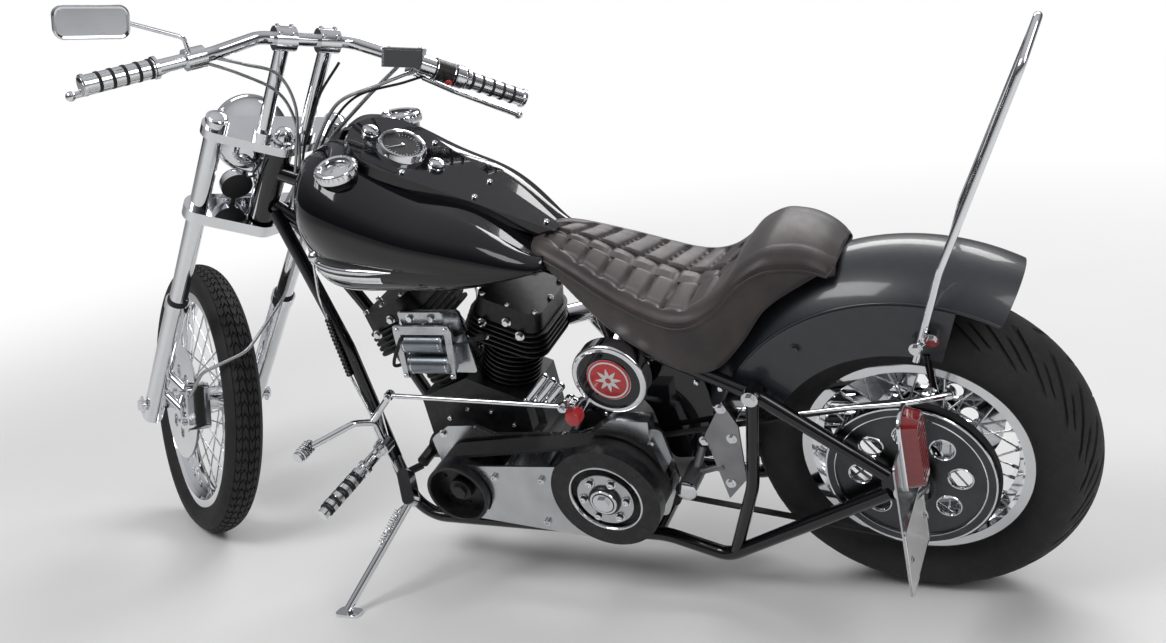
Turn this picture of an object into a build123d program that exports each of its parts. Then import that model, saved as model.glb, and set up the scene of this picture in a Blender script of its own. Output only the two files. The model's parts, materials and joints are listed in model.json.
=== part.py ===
from build123d import *
from math import atan2, cos, degrees, hypot, radians, sin, sqrt, tan
import os

os.makedirs("parts", exist_ok=True)

# Driving dimensions in millimetres and degrees. The bike is drawn upright with its wheels
# straight ahead: X forward from the rear axle, Y to the left, Z up from the ground.
WHEELBASE = 1822
RAKE = 37.6
FORK_OFFSET = 43
LEAN = 12.3
STEERING_LOCK = 40

REAR_RADIUS = 325
REAR_TYRE_WIDTH = 184
REAR_CROWN = 105
REAR_RIM_RADIUS = 206
REAR_RIM_WIDTH = 126
REAR_HUB_WIDTH = 168
FRONT_RADIUS = 345
FRONT_TYRE_WIDTH = 88
FRONT_CROWN = 47
FRONT_RIM_RADIUS = 268
FRONT_RIM_WIDTH = 62
FRONT_HUB_WIDTH = 120
TYRE_WALL = 9
SPOKES_A_GROUP = 10
SPOKE_RADIUS = 2

# Running fits: pins and shafts turn with this radial clearance, clamped pieces have the other.
PIN_FIT = 0.05
CLAMP_FIT = 0.03
SIDE_GAP = 6

TUBE_RADIUS = 15
BACKBONE_RADIUS = 21
NECK_RADIUS = 28
STEM_RADIUS = 12.7
STAY_Y = 140
STAY_PLATE = 12
RAIL_Y = 122
RAIL_Z = 142
AXLE_RADIUS = 10

FORK_Y = 127
FORK_TUBE_RADIUS = 20.5
SLIDER_RADIUS = 25
SLIDER_TOP = 372
SLIDER_END = -47
FORK_TOP = 918
LOWER_TREE_Z = 655
UPPER_TREE_Z = 885
TREE_THICKNESS = 30
UPPER_TREE_THICKNESS = 22
BAR_RADIUS = 12.7
BAR_HEIGHT = 1150
RISER_Y = 44.5
GRIP_RADIUS = 17
GRIP_LENGTH = 128

CRANK = (0.5077 * WHEELBASE, 304)
CLUTCH = (0.3205 * WHEELBASE, 308)
CASE_Y = 78
TRANSMISSION_Y = 86
PRIMARY_Y = 134
CYLINDER_ANGLE = 22.5
CYLINDER_RADIUS = 66
BORE_START = 176
BORE_TOP = 300
HEAD_TOP = 398
HEAD_WIDTH = 192
FIN_PITCH = 12.5
FIN_THICKNESS = 3.2

BELT_Y = 190
BELT_WIDTH = 48
BELT_THICKNESS = 7
FRONT_PULLEY_RADIUS = 62
CLUTCH_RADIUS = 104
BOWL_RADIUS = 71

DRIVE_RADIUS = 157
DRIVE_SPROCKET_RADIUS = 55
DRIVE_Y = 112
DRIVE_WIDTH = 13
DRIVE_BELT_THICKNESS = 5
DISC_RADIUS = 145
BEAD_WIDTH = 12

TANK_GAP = 24
TANK_FLOOR = 757

STRUT_Y = 118
STRUT_THICKNESS = 10
SISSY_RADIUS = 7

SIDES = {"left": 1, "right": -1}


LAYOUT_WHEELBASE = 1822


def at(x, *rest):
    """A place along the bike, which moves in step with the wheelbase."""
    return (x * WHEELBASE / LAYOUT_WHEELBASE, *rest)


def outline(*points):
    """Adds a closed outline of places in a side view to the sketch being drawn."""
    with BuildLine() as edges:
        Polyline(*[at(*point) for point in points], close=True)
    make_face(edges.edges())


def side(y):
    """The plane of a side view at a distance to the left: X forward, Y up, extruding to the right."""
    return Plane.XZ.offset(-y)


def tube(points, bends, radius):
    """Adds a round bar along straight runs joined by arcs to the piece being built."""
    with BuildLine() as line:
        FilletPolyline(*points, radius=bends)
    with BuildSketch(Plane(origin=line.line @ 0, z_dir=line.line % 0)) as section:
        Circle(radius)
    sweep(section.sketch, path=line.line)


def bar(start, end, radius, mode=Mode.ADD):
    """Adds or cuts a straight round bar from one point to another."""
    run = Vector(*end) - Vector(*start)
    with BuildSketch(Plane(origin=start, z_dir=run)) as section:
        Circle(radius)
    extrude(section.sketch, amount=run.length, mode=mode)


def disc(centre, outer_y, inner_y, radius, mode=Mode.ADD):
    """Adds or cuts a round slab across the bike, from its left face to its right one."""
    bar((centre[0], outer_y, centre[1]), (centre[0], inner_y, centre[1]), radius, mode)


def clear_of(*others):
    """Cuts the pieces that this one is fitted against out of it."""
    for other in others:
        add(other.part, mode=Mode.SUBTRACT)


# The parked pose: the steering turned to its right stop, the bike leaning left, both tyres on
# the floor.
STEERING = Plane(
    origin=(
        WHEELBASE - FORK_OFFSET * cos(radians(RAKE)),
        0,
        FRONT_RADIUS - FORK_OFFSET * sin(radians(RAKE)),
    ),
    x_dir=(cos(radians(RAKE)), 0, sin(radians(RAKE))),
    z_dir=(-sin(radians(RAKE)), 0, cos(radians(RAKE))),
).location
TURNED = STEERING * Rot(0, 0, -STEERING_LOCK)
WHEEL_UPRIGHT = Rot(-90, 0, 0)
FRONT_WHEEL = TURNED * Pos(FORK_OFFSET, 0, 0) * WHEEL_UPRIGHT
REAR_WHEEL = Pos(0, 0, REAR_RADIUS) * WHEEL_UPRIGHT


def floor_gap(pose, radius, crown):
    """Height of a tyre's lowest point, for a wheel posed with its axle along its own Z."""
    slope = (pose * Pos(0, 0, 1)).position.Z - pose.position.Z
    return pose.position.Z - (radius - crown) * sqrt(1 - slope**2) - crown


LEANING = Rot(-LEAN, 0, 0)
for _ in range(3):
    rear_gap = floor_gap(LEANING * REAR_WHEEL, REAR_RADIUS, REAR_CROWN)
    front_gap = floor_gap(LEANING * FRONT_WHEEL, FRONT_RADIUS, FRONT_CROWN)
    nose_down = degrees(atan2(front_gap - rear_gap, WHEELBASE))
    LEANING = Pos(0, 0, -rear_gap) * Rot(0, nose_down, 0) * LEANING
FLOOR = Plane(LEANING.inverse())

# The side stand: a leg from its pivot down to the leaning bike's floor, which folds backwards
STAND_PIVOT = Vector(*at(1080, 200, 252))
STAND_FOOT = at(1184, 400)
STAND_FOLDED = (-0.93, 0.22, -0.30)
STAND_EYE = 14
STAND_PIN = 6
STAND_LEG = 9
stand_floor = STAND_FOOT[1] * tan(radians(LEAN))
stand_spot = (LEANING * Pos(*STAND_FOOT, stand_floor)).position
stand_down = (Vector(*STAND_FOOT, stand_floor) - STAND_PIVOT).normalized()
stand_folded = Vector(*STAND_FOLDED).normalized()
stand_back = -(stand_down + stand_folded).normalized()
STAND_HINGE = Plane(origin=STAND_PIVOT, x_dir=stand_back, z_dir=stand_down.cross(stand_folded))

pieces = []


def finish(piece, label, pose=Location()):
    """Names a finished piece and keeps it with the pose that takes it to the parked bike."""
    pieces.append((piece, label, pose))


# Frame
NECK_TOP = UPPER_TREE_Z - SIDE_GAP
NECK_FOOT = LOWER_TREE_Z + TREE_THICKNESS + SIDE_GAP


def on_neck(z):
    """A point on the steering axis, in the bike's own coordinates."""
    return (STEERING * Pos(0, 0, z)).position


GUSSET_START = on_neck(NECK_FOOT + 45)
with BuildPart() as backbone:
    bar(on_neck(NECK_FOOT), on_neck(NECK_TOP), NECK_RADIUS)
    tube([on_neck(NECK_TOP - 55), at(1060, 0, 880), at(600, 0, 690)], 200, BACKBONE_RADIUS)
    tube([GUSSET_START, at(1215, 0, 800), at(1120, 0, 850)], 40, TUBE_RADIUS)
    bar(on_neck(NECK_FOOT - 20), on_neck(NECK_TOP + 20), STEM_RADIUS + PIN_FIT, Mode.SUBTRACT)
finish(backbone, "backbone")

DOWN_TUBE_HEAD = tuple(GUSSET_START + Vector(-24, 14, -22))
DOWN_TUBE_KNEE = at(1215, 62, 560)
RAIL_FRONT = at(1140, RAIL_Y, RAIL_Z)
RAIL_REAR = at(520, RAIL_Y, RAIL_Z)
STAY_FOOT = at(385, STAY_Y - 4, 112)
LOWER_STAY_END = (32, STAY_Y, REAR_RADIUS - 18)
UPPER_STAY_END = (34, STAY_Y, REAR_RADIUS + 20)
UPPER_STAY_KNEE = at(262, STAY_Y, 520)
MOUNT_Z = 250

cradles = {}
for name, hand in SIDES.items():
    with BuildPart() as cradle:
        route = (DOWN_TUBE_HEAD, DOWN_TUBE_KNEE, RAIL_FRONT, RAIL_REAR, STAY_FOOT, LOWER_STAY_END)
        tube([(x, hand * y, z) for x, y, z in route], [150, 90, 200, 60], TUBE_RADIUS)
        with BuildSketch(side(hand * STAY_Y + STAY_PLATE / 2)):
            with Locations((0, REAR_RADIUS)):
                RectangleRounded(92, 58, 20)
        extrude(amount=STAY_PLATE)
        bar(at(1120, hand * CASE_Y, MOUNT_Z), at(1150, hand * 115, MOUNT_Z), 9)
        if hand > 0:
            bar(STAND_PIVOT + stand_back * 50, at(1160, 104, 285), 12)
            with BuildSketch(STAND_HINGE):
                with Locations((28, 0)):
                    SlotCenterToCenter(56, 2 * STAND_EYE)
            extrude(amount=STAND_LEG + 8, both=True)
            with BuildSketch(STAND_HINGE):
                Circle(STAND_EYE + 8)
            extrude(amount=STAND_LEG + 2, both=True, mode=Mode.SUBTRACT)
            with BuildSketch(STAND_HINGE):
                Circle(STAND_PIN)
            extrude(amount=STAND_LEG + 8, both=True)
        clear_of(backbone)
        disc((0, REAR_RADIUS), hand * 170, hand * 90, AXLE_RADIUS + CLAMP_FIT, Mode.SUBTRACT)
    cradles[name] = cradle
    finish(cradle, f"cradle_{name}")

with BuildPart() as rear_frame:
    tube([at(618, 0, 690), at(572, 0, 400), at(545, 0, RAIL_Z)], 300, TUBE_RADIUS)
    bar(at(545, -RAIL_Y, RAIL_Z), at(545, RAIL_Y, RAIL_Z), TUBE_RADIUS)
    for hand in SIDES.values():
        upper_stay = (at(610, 5, 672), at(500, 100, 600), UPPER_STAY_KNEE, UPPER_STAY_END)
        tube([(x, hand * y, z) for x, y, z in upper_stay], [120, 120], TUBE_RADIUS - 1)
        disc(UPPER_STAY_KNEE[::2], hand * (STAY_Y + 20), hand * (STAY_Y - 18), 17)
        upright = (UPPER_STAY_KNEE, at(300, STAY_Y, 300), at(370, STAY_Y - 4, 118))
        tube([(x, hand * y, z) for x, y, z in upright], 200, TUBE_RADIUS - 2)
    clear_of(backbone, *cradles.values())
finish(rear_frame, "rear_frame")

# Engine
deck_lean = radians(CYLINDER_ANGLE)
deck_peak = BORE_START / cos(deck_lean)
deck_across = BORE_START * sin(deck_lean) + CYLINDER_RADIUS * cos(deck_lean)
deck_low = BORE_START * cos(deck_lean) - CYLINDER_RADIUS * sin(deck_lean)
with BuildPart() as crankcase:
    with BuildSketch(side(CASE_Y)):
        with Locations(CRANK):
            Circle(128)
        with BuildLine():
            Polyline(
                (CRANK[0] - 125, CRANK[1] - 125),
                (CRANK[0] + 60, CRANK[1] - 125),
                (CRANK[0] + 135, CRANK[1] - 50),
                (CRANK[0] + deck_across, CRANK[1] + deck_low),
                (CRANK[0], CRANK[1] + deck_peak),
                (CRANK[0] - deck_across, CRANK[1] + deck_low),
                close=True,
            )
        make_face()
    extrude(amount=2 * CASE_Y)
    disc(CRANK, 1 - CASE_Y, -CASE_Y - 26, 84)
    disc((CRANK[0] + 70, CRANK[1] - 40), 1 - CASE_Y, -CASE_Y - 34, 42)
    disc(CRANK, PRIMARY_Y - 8, CASE_Y - 1, 62)
    bar(at(1125, CASE_Y - 12, MOUNT_Z), at(1125, 12 - CASE_Y, MOUNT_Z), 14)
    bar(at(1040, 0, MOUNT_Z), at(1126, 0, MOUNT_Z), 30)
    clear_of(*cradles.values())
finish(crankcase, "crankcase")

fin_count = int((BORE_TOP - BORE_START) / FIN_PITCH)
head_fins = int((HEAD_TOP - 42 - BORE_TOP) / FIN_PITCH) + 1
cylinder_poses = {}
cylinders = {}
for name, turn in (("front", CYLINDER_ANGLE), ("rear", -CYLINDER_ANGLE)):
    cylinder_pose = Pos(CRANK[0], 0, CRANK[1]) * Rot(0, turn, 0)
    cylinder_poses[name] = cylinder_pose
    with BuildPart() as cylinder:
        with BuildSketch(Plane.XY.offset(BORE_START)):
            Circle(CYLINDER_RADIUS - 12)
        extrude(amount=BORE_TOP - BORE_START)
        for fin in range(fin_count):
            with BuildSketch(Plane.XY.offset(BORE_START + fin * FIN_PITCH)):
                Circle(CYLINDER_RADIUS)
            extrude(amount=FIN_THICKNESS)
        with BuildSketch(Plane.XY.offset(BORE_TOP)):
            RectangleRounded(HEAD_WIDTH - 44, 146, 34)
        extrude(amount=HEAD_TOP - 42 - BORE_TOP)
        for fin in range(head_fins):
            with BuildSketch(Plane.XY.offset(BORE_TOP + fin * FIN_PITCH)):
                RectangleRounded(HEAD_WIDTH - 5 * fin, 184, 46)
            extrude(amount=FIN_THICKNESS)
        with BuildSketch(Plane.XY.offset(HEAD_TOP - 42)):
            RectangleRounded(HEAD_WIDTH - 36, 168, 36)
        extrude(amount=42, taper=10)
    cylinders[name] = cylinder
    finish(cylinder, f"{name}_cylinder", cylinder_pose)


def clear_of_cylinders():
    """Cuts both cylinders out of the piece being built."""
    for name, cylinder in cylinders.items():
        add(cylinder_poses[name] * cylinder.part, mode=Mode.SUBTRACT)


PUSHROD_Y = -84
with BuildPart() as pushrod_tubes:
    for name, cylinder_pose in cylinder_poses.items():
        inward = -1 if name == "front" else 1
        for x in (14 * inward, -22 * inward):
            foot = (cylinder_pose * Pos(x, PUSHROD_Y, 118)).position
            knee = (cylinder_pose * Pos(x, PUSHROD_Y, 150)).position
            head = (cylinder_pose * Pos(x, PUSHROD_Y, BORE_TOP)).position
            bar(foot, knee, 13)
            bar(knee, head, 8)
    clear_of(crankcase)
finish(pushrod_tubes, "pushrod_tubes")

INTAKE = (CRANK[0], 540)
AIR_CLEANER_Y = -150
with BuildPart() as air_cleaner:
    disc(INTAKE, -20, AIR_CLEANER_Y, 24)
    bar((INTAKE[0] - 42, -30, INTAKE[1]), (INTAKE[0] + 42, -30, INTAKE[1]), 17)
    disc((INTAKE[0] - 10, INTAKE[1]), AIR_CLEANER_Y + 2, AIR_CLEANER_Y - 40, 78)
    fillet(air_cleaner.edges().filter_by(GeomType.CIRCLE).sort_by(Axis.Y)[0], 14)
    clear_of_cylinders()
finish(air_cleaner, "air_cleaner")

EXHAUST_RADIUS = 22
EXHAUST_Y = 178
# Each pipe: its route from the head back to its open end, and the radii of its bends
EXHAUST_ROUTES = (
    (
        ((1085, -70, 590), (1165, -118, 540), (1112, -EXHAUST_Y, 330), (960, -EXHAUST_Y, 232),
         (120, -EXHAUST_Y, 232)),
        [50, 90, 90],
    ),
    (
        ((735, -70, 560), (700, -130, 540), (660, -EXHAUST_Y, 400), (520, -EXHAUST_Y, 300),
         (60, -EXHAUST_Y, 300)),
        [40, 70, 110],
    ),
)
with BuildPart() as exhaust_pipes:
    for route, bends in EXHAUST_ROUTES:
        tube([at(*point) for point in route], bends, EXHAUST_RADIUS)
        x, y, z = at(*route[-1])
        bar((x - 5, y, z), (x + 60, y, z), EXHAUST_RADIUS - 3, Mode.SUBTRACT)
    bar(at(690, -TRANSMISSION_Y, 262), at(690, -EXHAUST_Y, 262), 10)
    bar(at(690, -EXHAUST_Y, 232), at(690, -EXHAUST_Y, 264), 8)
    bar(at(460, -EXHAUST_Y, 232), at(460, -EXHAUST_Y, 300), 8)
    clear_of_cylinders()
finish(exhaust_pipes, "exhaust_pipes")

# Transmission, primary drive and oil tank
BOX_POSTS = (at(668, 398), at(660, 228))
with BuildPart() as transmission:
    with BuildSketch(side(TRANSMISSION_Y)):
        outline((490, 190), (690, 190), (705, 300), (690, 412), (600, 440), (490, 400))
    extrude(amount=2 * TRANSMISSION_Y)
    fillet(transmission.edges().filter_by(Axis.Y), 15)
    bar(at(600, 0, 430), at(600, 0, 462), 45)
    disc(CLUTCH, DRIVE_Y, TRANSMISSION_Y - 1, DRIVE_SPROCKET_RADIUS)
    disc(CLUTCH, BELT_Y - BELT_WIDTH - 2, DRIVE_Y - 1, 20)
    for post in BOX_POSTS:
        disc(post, PRIMARY_Y - 8, TRANSMISSION_Y - 1, 12)
    for x in (530, 660):
        bar(at(x, 0, 192), at(x, 0, RAIL_Z + TUBE_RADIUS - 4), 24)
    bar(at(660, -RAIL_Y, RAIL_Z), at(660, RAIL_Y, RAIL_Z), 12)
    clear_of(rear_frame, *cradles.values())
finish(transmission, "transmission")

PLATE_THICKNESS = 8
with BuildPart() as motor_plate:
    with BuildSketch(side(PRIMARY_Y)):
        outline(
            (1012, 240), (1020, 372), (968, 408), (900, 412), (858, 392), (662, 402),
            (560, 440), (470, 420), (455, 300), (500, 205), (600, 185),
        )
    extrude(amount=PLATE_THICKNESS)
    fillet(motor_plate.edges().filter_by(Axis.Y), 12)
    disc(CLUTCH, PRIMARY_Y + 1, PRIMARY_Y - PLATE_THICKNESS - 1, 62, Mode.SUBTRACT)
    with BuildSketch(side(PRIMARY_Y + 34)):
        outline((662, 392), (558, 464), (476, 464), (482, 418), (462, 318), (484, 296), (520, 400))
    extrude(amount=34)
    disc(CLUTCH, PRIMARY_Y + 40, PRIMARY_Y, CLUTCH_RADIUS + 18, Mode.SUBTRACT)
finish(motor_plate, "motor_plate")

with BuildPart() as front_pulley:
    disc(CRANK, BELT_Y + 2, BELT_Y - BELT_WIDTH, FRONT_PULLEY_RADIUS)
    disc(CRANK, BELT_Y - BELT_WIDTH, PRIMARY_Y, 26)
    disc(CRANK, BELT_Y + 44, BELT_Y + 2, BOWL_RADIUS)
    disc(CRANK, BELT_Y + 44, BELT_Y + 12, BOWL_RADIUS - 7, Mode.SUBTRACT)
    disc(CRANK, BELT_Y + 26, BELT_Y + 11, 26)
finish(front_pulley, "front_pulley")

RING_RADIUS = 117
with BuildPart() as clutch:
    disc(CLUTCH, BELT_Y + 2, BELT_Y - BELT_WIDTH, CLUTCH_RADIUS)
    disc(CLUTCH, BELT_Y + 30, BELT_Y + 2, RING_RADIUS)
    disc(CLUTCH, BELT_Y + 30, BELT_Y + 8, 80, Mode.SUBTRACT)
    disc(CLUTCH, BELT_Y + 30, BELT_Y + 7, 60)
    disc(CLUTCH, BELT_Y + 40, BELT_Y + 29, 34)
    fillet(clutch.edges().filter_by(GeomType.CIRCLE).sort_by(Axis.Y)[-1], 6)
    for turn in range(6):
        angle = radians(60 * turn)
        disc((CLUTCH[0] + 47 * cos(angle), CLUTCH[1] + 47 * sin(angle)), BELT_Y + 37, BELT_Y + 29, 7)
finish(clutch, "clutch")


def loop_belt(centres, radii, thickness, outer_y, width):
    """Extrudes a belt stretched round two pulleys."""
    for grow, mode in ((thickness, Mode.ADD), (CLAMP_FIT, Mode.SUBTRACT)):
        with BuildSketch(side(outer_y)) as outline:
            with BuildLine():
                for centre, radius in zip(centres, radii):
                    CenterArc(centre, radius + grow, 0, 360)
            make_hull()
        extrude(outline.sketch, amount=width, mode=mode)


with BuildPart() as primary_belt:
    loop_belt((CLUTCH, CRANK), (CLUTCH_RADIUS, FRONT_PULLEY_RADIUS), BELT_THICKNESS, BELT_Y, BELT_WIDTH)
finish(primary_belt, "primary_belt")

GUARD_SCREWS = ((829, 345), (719, 345), (735, 235))
GUARD_POSTS = ((829, 330), (740, 330), (765, 262))
with BuildPart() as belt_guard:
    with BuildSketch(side(BELT_Y + 26)):
        outline((925, 232), (925, 366), (600, 384), (600, 196))
        with Locations(CLUTCH):
            Circle(RING_RADIUS + 3, mode=Mode.SUBTRACT)
        with Locations(CRANK):
            Circle(BOWL_RADIUS + 3, mode=Mode.SUBTRACT)
    extrude(amount=6)
    for spot in GUARD_POSTS:
        disc(at(*spot), BELT_Y + 21, PRIMARY_Y, 9)
    for spot in GUARD_SCREWS:
        disc(at(*spot), BELT_Y + 29, BELT_Y + 25, 7)
    clear_of(primary_belt, clutch)
finish(belt_guard, "belt_guard")

OIL_TANK_Y = 88
OIL_TANK_REAR = REAR_RADIUS + 47
with BuildPart() as oil_tank:
    with BuildSketch(side(OIL_TANK_Y)):
        with BuildLine():
            Polyline(
                (OIL_TANK_REAR, 330), at(480, 318), at(500, 440), at(530, 490), at(470, 560),
                (OIL_TANK_REAR + 14, 565), (OIL_TANK_REAR, 480), close=True,
            )
        make_face()
    extrude(amount=2 * OIL_TANK_Y)
    fillet(oil_tank.edges().filter_by(Axis.Y), 18)
    clear_of(rear_frame, transmission)
finish(oil_tank, "oil_tank")

COVER = at(545, 549)
COVER_RADIUS = 78
with BuildPart() as round_cover:
    disc(COVER, 152, 118, COVER_RADIUS)
    fillet(round_cover.edges().filter_by(GeomType.CIRCLE).sort_by(Axis.Y)[-1], 7)
    disc(COVER, 153, 146, COVER_RADIUS - 12, Mode.SUBTRACT)
    disc(COVER, 149, 145, 46)
    bar(at(588, 5, 548), at(560, 121, 548), 18)
    clear_of(rear_frame, oil_tank, transmission)
finish(round_cover, "round_cover")

with BuildPart() as side_plate:
    with BuildSketch(side(123)):
        outline((335, 486), (385, 405), (362, 250), (318, 300), (312, 430))
    extrude(amount=5)
    bar(at(370, 120, 366), (OIL_TANK_REAR + 24, OIL_TANK_Y - 2, 366), 9)
    disc(at(430, 300), 165, OIL_TANK_Y + 2, 19)
    bar(at(430, 112, 300), (OIL_TANK_REAR + 40, OIL_TANK_Y - 2, 350), 9)
    bar(at(430, 112, 300), at(360, 120, 330), 6)
    clear_of(rear_frame, oil_tank, transmission, *cradles.values())
finish(side_plate, "side_plate")

with BuildPart() as drive_belt:
    loop_belt(
        (CLUTCH, (0, REAR_RADIUS)), (DRIVE_SPROCKET_RADIUS, DRIVE_RADIUS + 0.3), DRIVE_BELT_THICKNESS,
        DRIVE_Y, DRIVE_WIDTH,
    )
finish(drive_belt, "drive_belt")

# Ignition coils in their bracket, on the left between the cylinders
COIL_Y = 118
COIL_RADIUS = 22
COIL_HEIGHTS = (612, 560)
with BuildPart() as ignition_coils:
    with BuildSketch(side(COIL_Y + 16)):
        outline(
            (1018, 660), (885, 660), (880, 645), (905, 532), (917, 532), (899, 640), (1006, 640),
            (1022, 532), (1034, 532), (1022, 645),
        )
    extrude(amount=6)
    with BuildSketch(side(COIL_Y + 2)):
        with Locations(at(952, 668)):
            RectangleRounded(104, 34, 4)
        with Locations(at(926, 672), at(978, 672)):
            Circle(5, mode=Mode.SUBTRACT)
    extrude(amount=5)
    for z in COIL_HEIGHTS:
        bar(at(912, COIL_Y, z), at(1012, COIL_Y, z), COIL_RADIUS)
    bar(at(905, COIL_Y + 10, 654), at(1000, COIL_Y + 10, 654), 5)
    with BuildSketch(side(COIL_Y - COIL_RADIUS + 3)):
        with Locations(at(948, 600)):
            RectangleRounded(150, 150, 8)
    extrude(amount=7)
    disc(at(955, 650), COIL_Y + 10, COIL_Y - COIL_RADIUS - 1, 7)
    for z in COIL_HEIGHTS:
        disc(at(962, z), COIL_Y, COIL_Y - COIL_RADIUS - 1, 8)
        disc(at(915, z), COIL_Y + 12, COIL_Y, 5)
        disc(at(1010, z), COIL_Y + 12, COIL_Y, 5)
    disc((CRANK[0], 560), COIL_Y - COIL_RADIUS, 10, 11)
    clear_of_cylinders()
    clear_of(air_cleaner, crankcase)
finish(ignition_coils, "ignition_coils")

# Tanks, console, seat and rear fender
TANK_TOP = (at(655, 785), at(1060, 1040))
CONSOLE_SINK = 2
console_slope = atan2(TANK_TOP[1][1] - TANK_TOP[0][1], TANK_TOP[1][0] - TANK_TOP[0][0])
CONSOLE_PLANE = Plane(
    origin=(
        (TANK_TOP[0][0] + TANK_TOP[1][0]) / 2,
        0,
        (TANK_TOP[0][1] + TANK_TOP[1][1]) / 2 - CONSOLE_SINK,
    ),
    x_dir=(cos(console_slope), 0, sin(console_slope)),
    z_dir=(-sin(console_slope), 0, cos(console_slope)),
)
with BuildPart() as console:
    with BuildSketch(CONSOLE_PLANE):
        with BuildLine():
            CenterArc((140, 0), 100, 0, 360)
            Line((-235, 18), (-235, -18))
        make_hull()
    extrude(amount=22, taper=12)
    with BuildSketch(CONSOLE_PLANE.offset(22)):
        with Locations((125, 0)):
            Circle(44)
    extrude(amount=9)
    with BuildSketch(CONSOLE_PLANE.offset(22)):
        with Locations((45, 0)):
            Circle(15)
        with Locations((198, 0)):
            Circle(15)
    extrude(amount=7)
finish(console, "console")

# A tank's sections: place along the bike, floor, top and half the pair's width
TANK_SECTIONS = (
    (655, TANK_FLOOR, 785, 96),
    (740, TANK_FLOOR, 838, 148),
    (880, TANK_FLOOR, 926, 186),
    (1020, TANK_FLOOR, 1014, 194),
    (1100, TANK_FLOOR + 2, 1034, 176),
    (1150, TANK_FLOOR + 20, 1000, 140),
    (1184, TANK_FLOOR + 82, 944, 92),
)
tanks = {}
for name, hand in SIDES.items():
    with BuildPart() as tank:
        for x, low, top, wide in TANK_SECTIONS:
            height = top - low
            width = wide - TANK_GAP
            with BuildSketch(Plane.YZ.offset(*at(x))):
                with BuildLine():
                    base = Polyline(
                        (hand * (TANK_GAP + width / 2), top),
                        (hand * TANK_GAP, top),
                        (hand * TANK_GAP, low),
                        (hand * (TANK_GAP + 0.72 * width), low),
                    )
                    belly = (hand * wide, low + 0.34 * height)
                    ThreePointArc(base @ 1, (hand * 0.97 * wide, low + 0.12 * height), belly)
                    ThreePointArc(belly, (hand * (TANK_GAP + 0.88 * width), low + 0.83 * height), base @ 0)
                make_face()
        loft()
        clear_of(backbone, console)
    tanks[name] = tank
    finish(tank, f"tank_{name}")

# Seat: a dished rider's place with a high bump behind it, its skirt hanging beside the fender
FENDER_CROWN = REAR_RADIUS + 103
FENDER_EDGE = REAR_RADIUS + 45
FENDER_HALF_WIDTH = 112
SEAT_HALF_WIDTH = 146
with BuildPart() as seat:
    with BuildSketch(side(SEAT_HALF_WIDTH)):
        outline(
            (700, 806), (660, 803), (589, 779), (545, 757), (463, 718), (400, 696), (350, 699),
            (300, 730), (262, 768), (215, 793), (150, 790), (98, 748), (143, 725), (220, 680),
            (320, 566), (378, 559), (450, 590), (540, 640), (639, 735), (690, 775),
        )
    extrude(amount=2 * SEAT_HALF_WIDTH)
    with BuildSketch(Plane.XY.offset(500)):
        with BuildLine():
            nose = Line(at(705, -58), at(705, 58))
            tail = Line(at(90, 84), at(90, -84))
            Spline(nose @ 1, at(520, 122), at(370, SEAT_HALF_WIDTH), at(220, 118), tail @ 0)
            Spline(tail @ 1, at(220, -118), at(370, -SEAT_HALF_WIDTH), at(520, -122), nose @ 0)
        make_face()
    extrude(amount=400, mode=Mode.INTERSECT)
    disc((0, REAR_RADIUS), FENDER_HALF_WIDTH + 6, -FENDER_HALF_WIDTH - 6, FENDER_CROWN + 1, Mode.SUBTRACT)
    clear_of(backbone, rear_frame, oil_tank, round_cover, console, *tanks.values())
finish(seat, "seat")

# Flat panels beside the tyre, under the fender's edge: inner and outer radius, angles about the axle
STRUT_BANDS = ((REAR_RADIUS - 58, FENDER_EDGE - 1, 32, 108),)
FENDER_START = radians(20)
FENDER_SHEET = 2.5
fender_start = Plane(
    origin=(0, 0, REAR_RADIUS),
    x_dir=(cos(FENDER_START), 0, sin(FENDER_START)),
    z_dir=(-sin(FENDER_START), 0, cos(FENDER_START)),
)
with BuildPart() as rear_fender:
    with BuildSketch(fender_start):
        with BuildLine():
            edge = (FENDER_EDGE, FENDER_HALF_WIDTH)
            lip = (FENDER_EDGE - FENDER_SHEET, FENDER_HALF_WIDTH - FENDER_SHEET)
            ThreePointArc((edge[0], -edge[1]), (FENDER_CROWN, 0), edge)
            Line(edge, lip)
            ThreePointArc(lip, (FENDER_CROWN - FENDER_SHEET, 0), (lip[0], -lip[1]))
            Line((lip[0], -lip[1]), (edge[0], -edge[1]))
        make_face()
    revolve(axis=Axis((0, 0, REAR_RADIUS), (0, -1, 0)), revolution_arc=100)
    for y in (STRUT_Y, STRUT_THICKNESS - STRUT_Y):
        for inner, outer, start, stop in STRUT_BANDS:
            with BuildSketch(side(y)):
                with BuildLine():
                    low = CenterArc((0, REAR_RADIUS), inner, start, stop - start)
                    high = CenterArc((0, REAR_RADIUS), outer, start, stop - start)
                    Line(low @ 0, high @ 0)
                    Line(low @ 1, high @ 1)
                make_face()
            extrude(amount=STRUT_THICKNESS)
    for hand in SIDES.values():
        disc((240, REAR_RADIUS + 178), hand * STAY_Y, hand * (STRUT_Y - 1), 9)
    clear_of(seat, rear_frame, oil_tank)
finish(rear_fender, "rear_fender")

SISSY_Y = STRUT_Y + SISSY_RADIUS + 0.3
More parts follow.
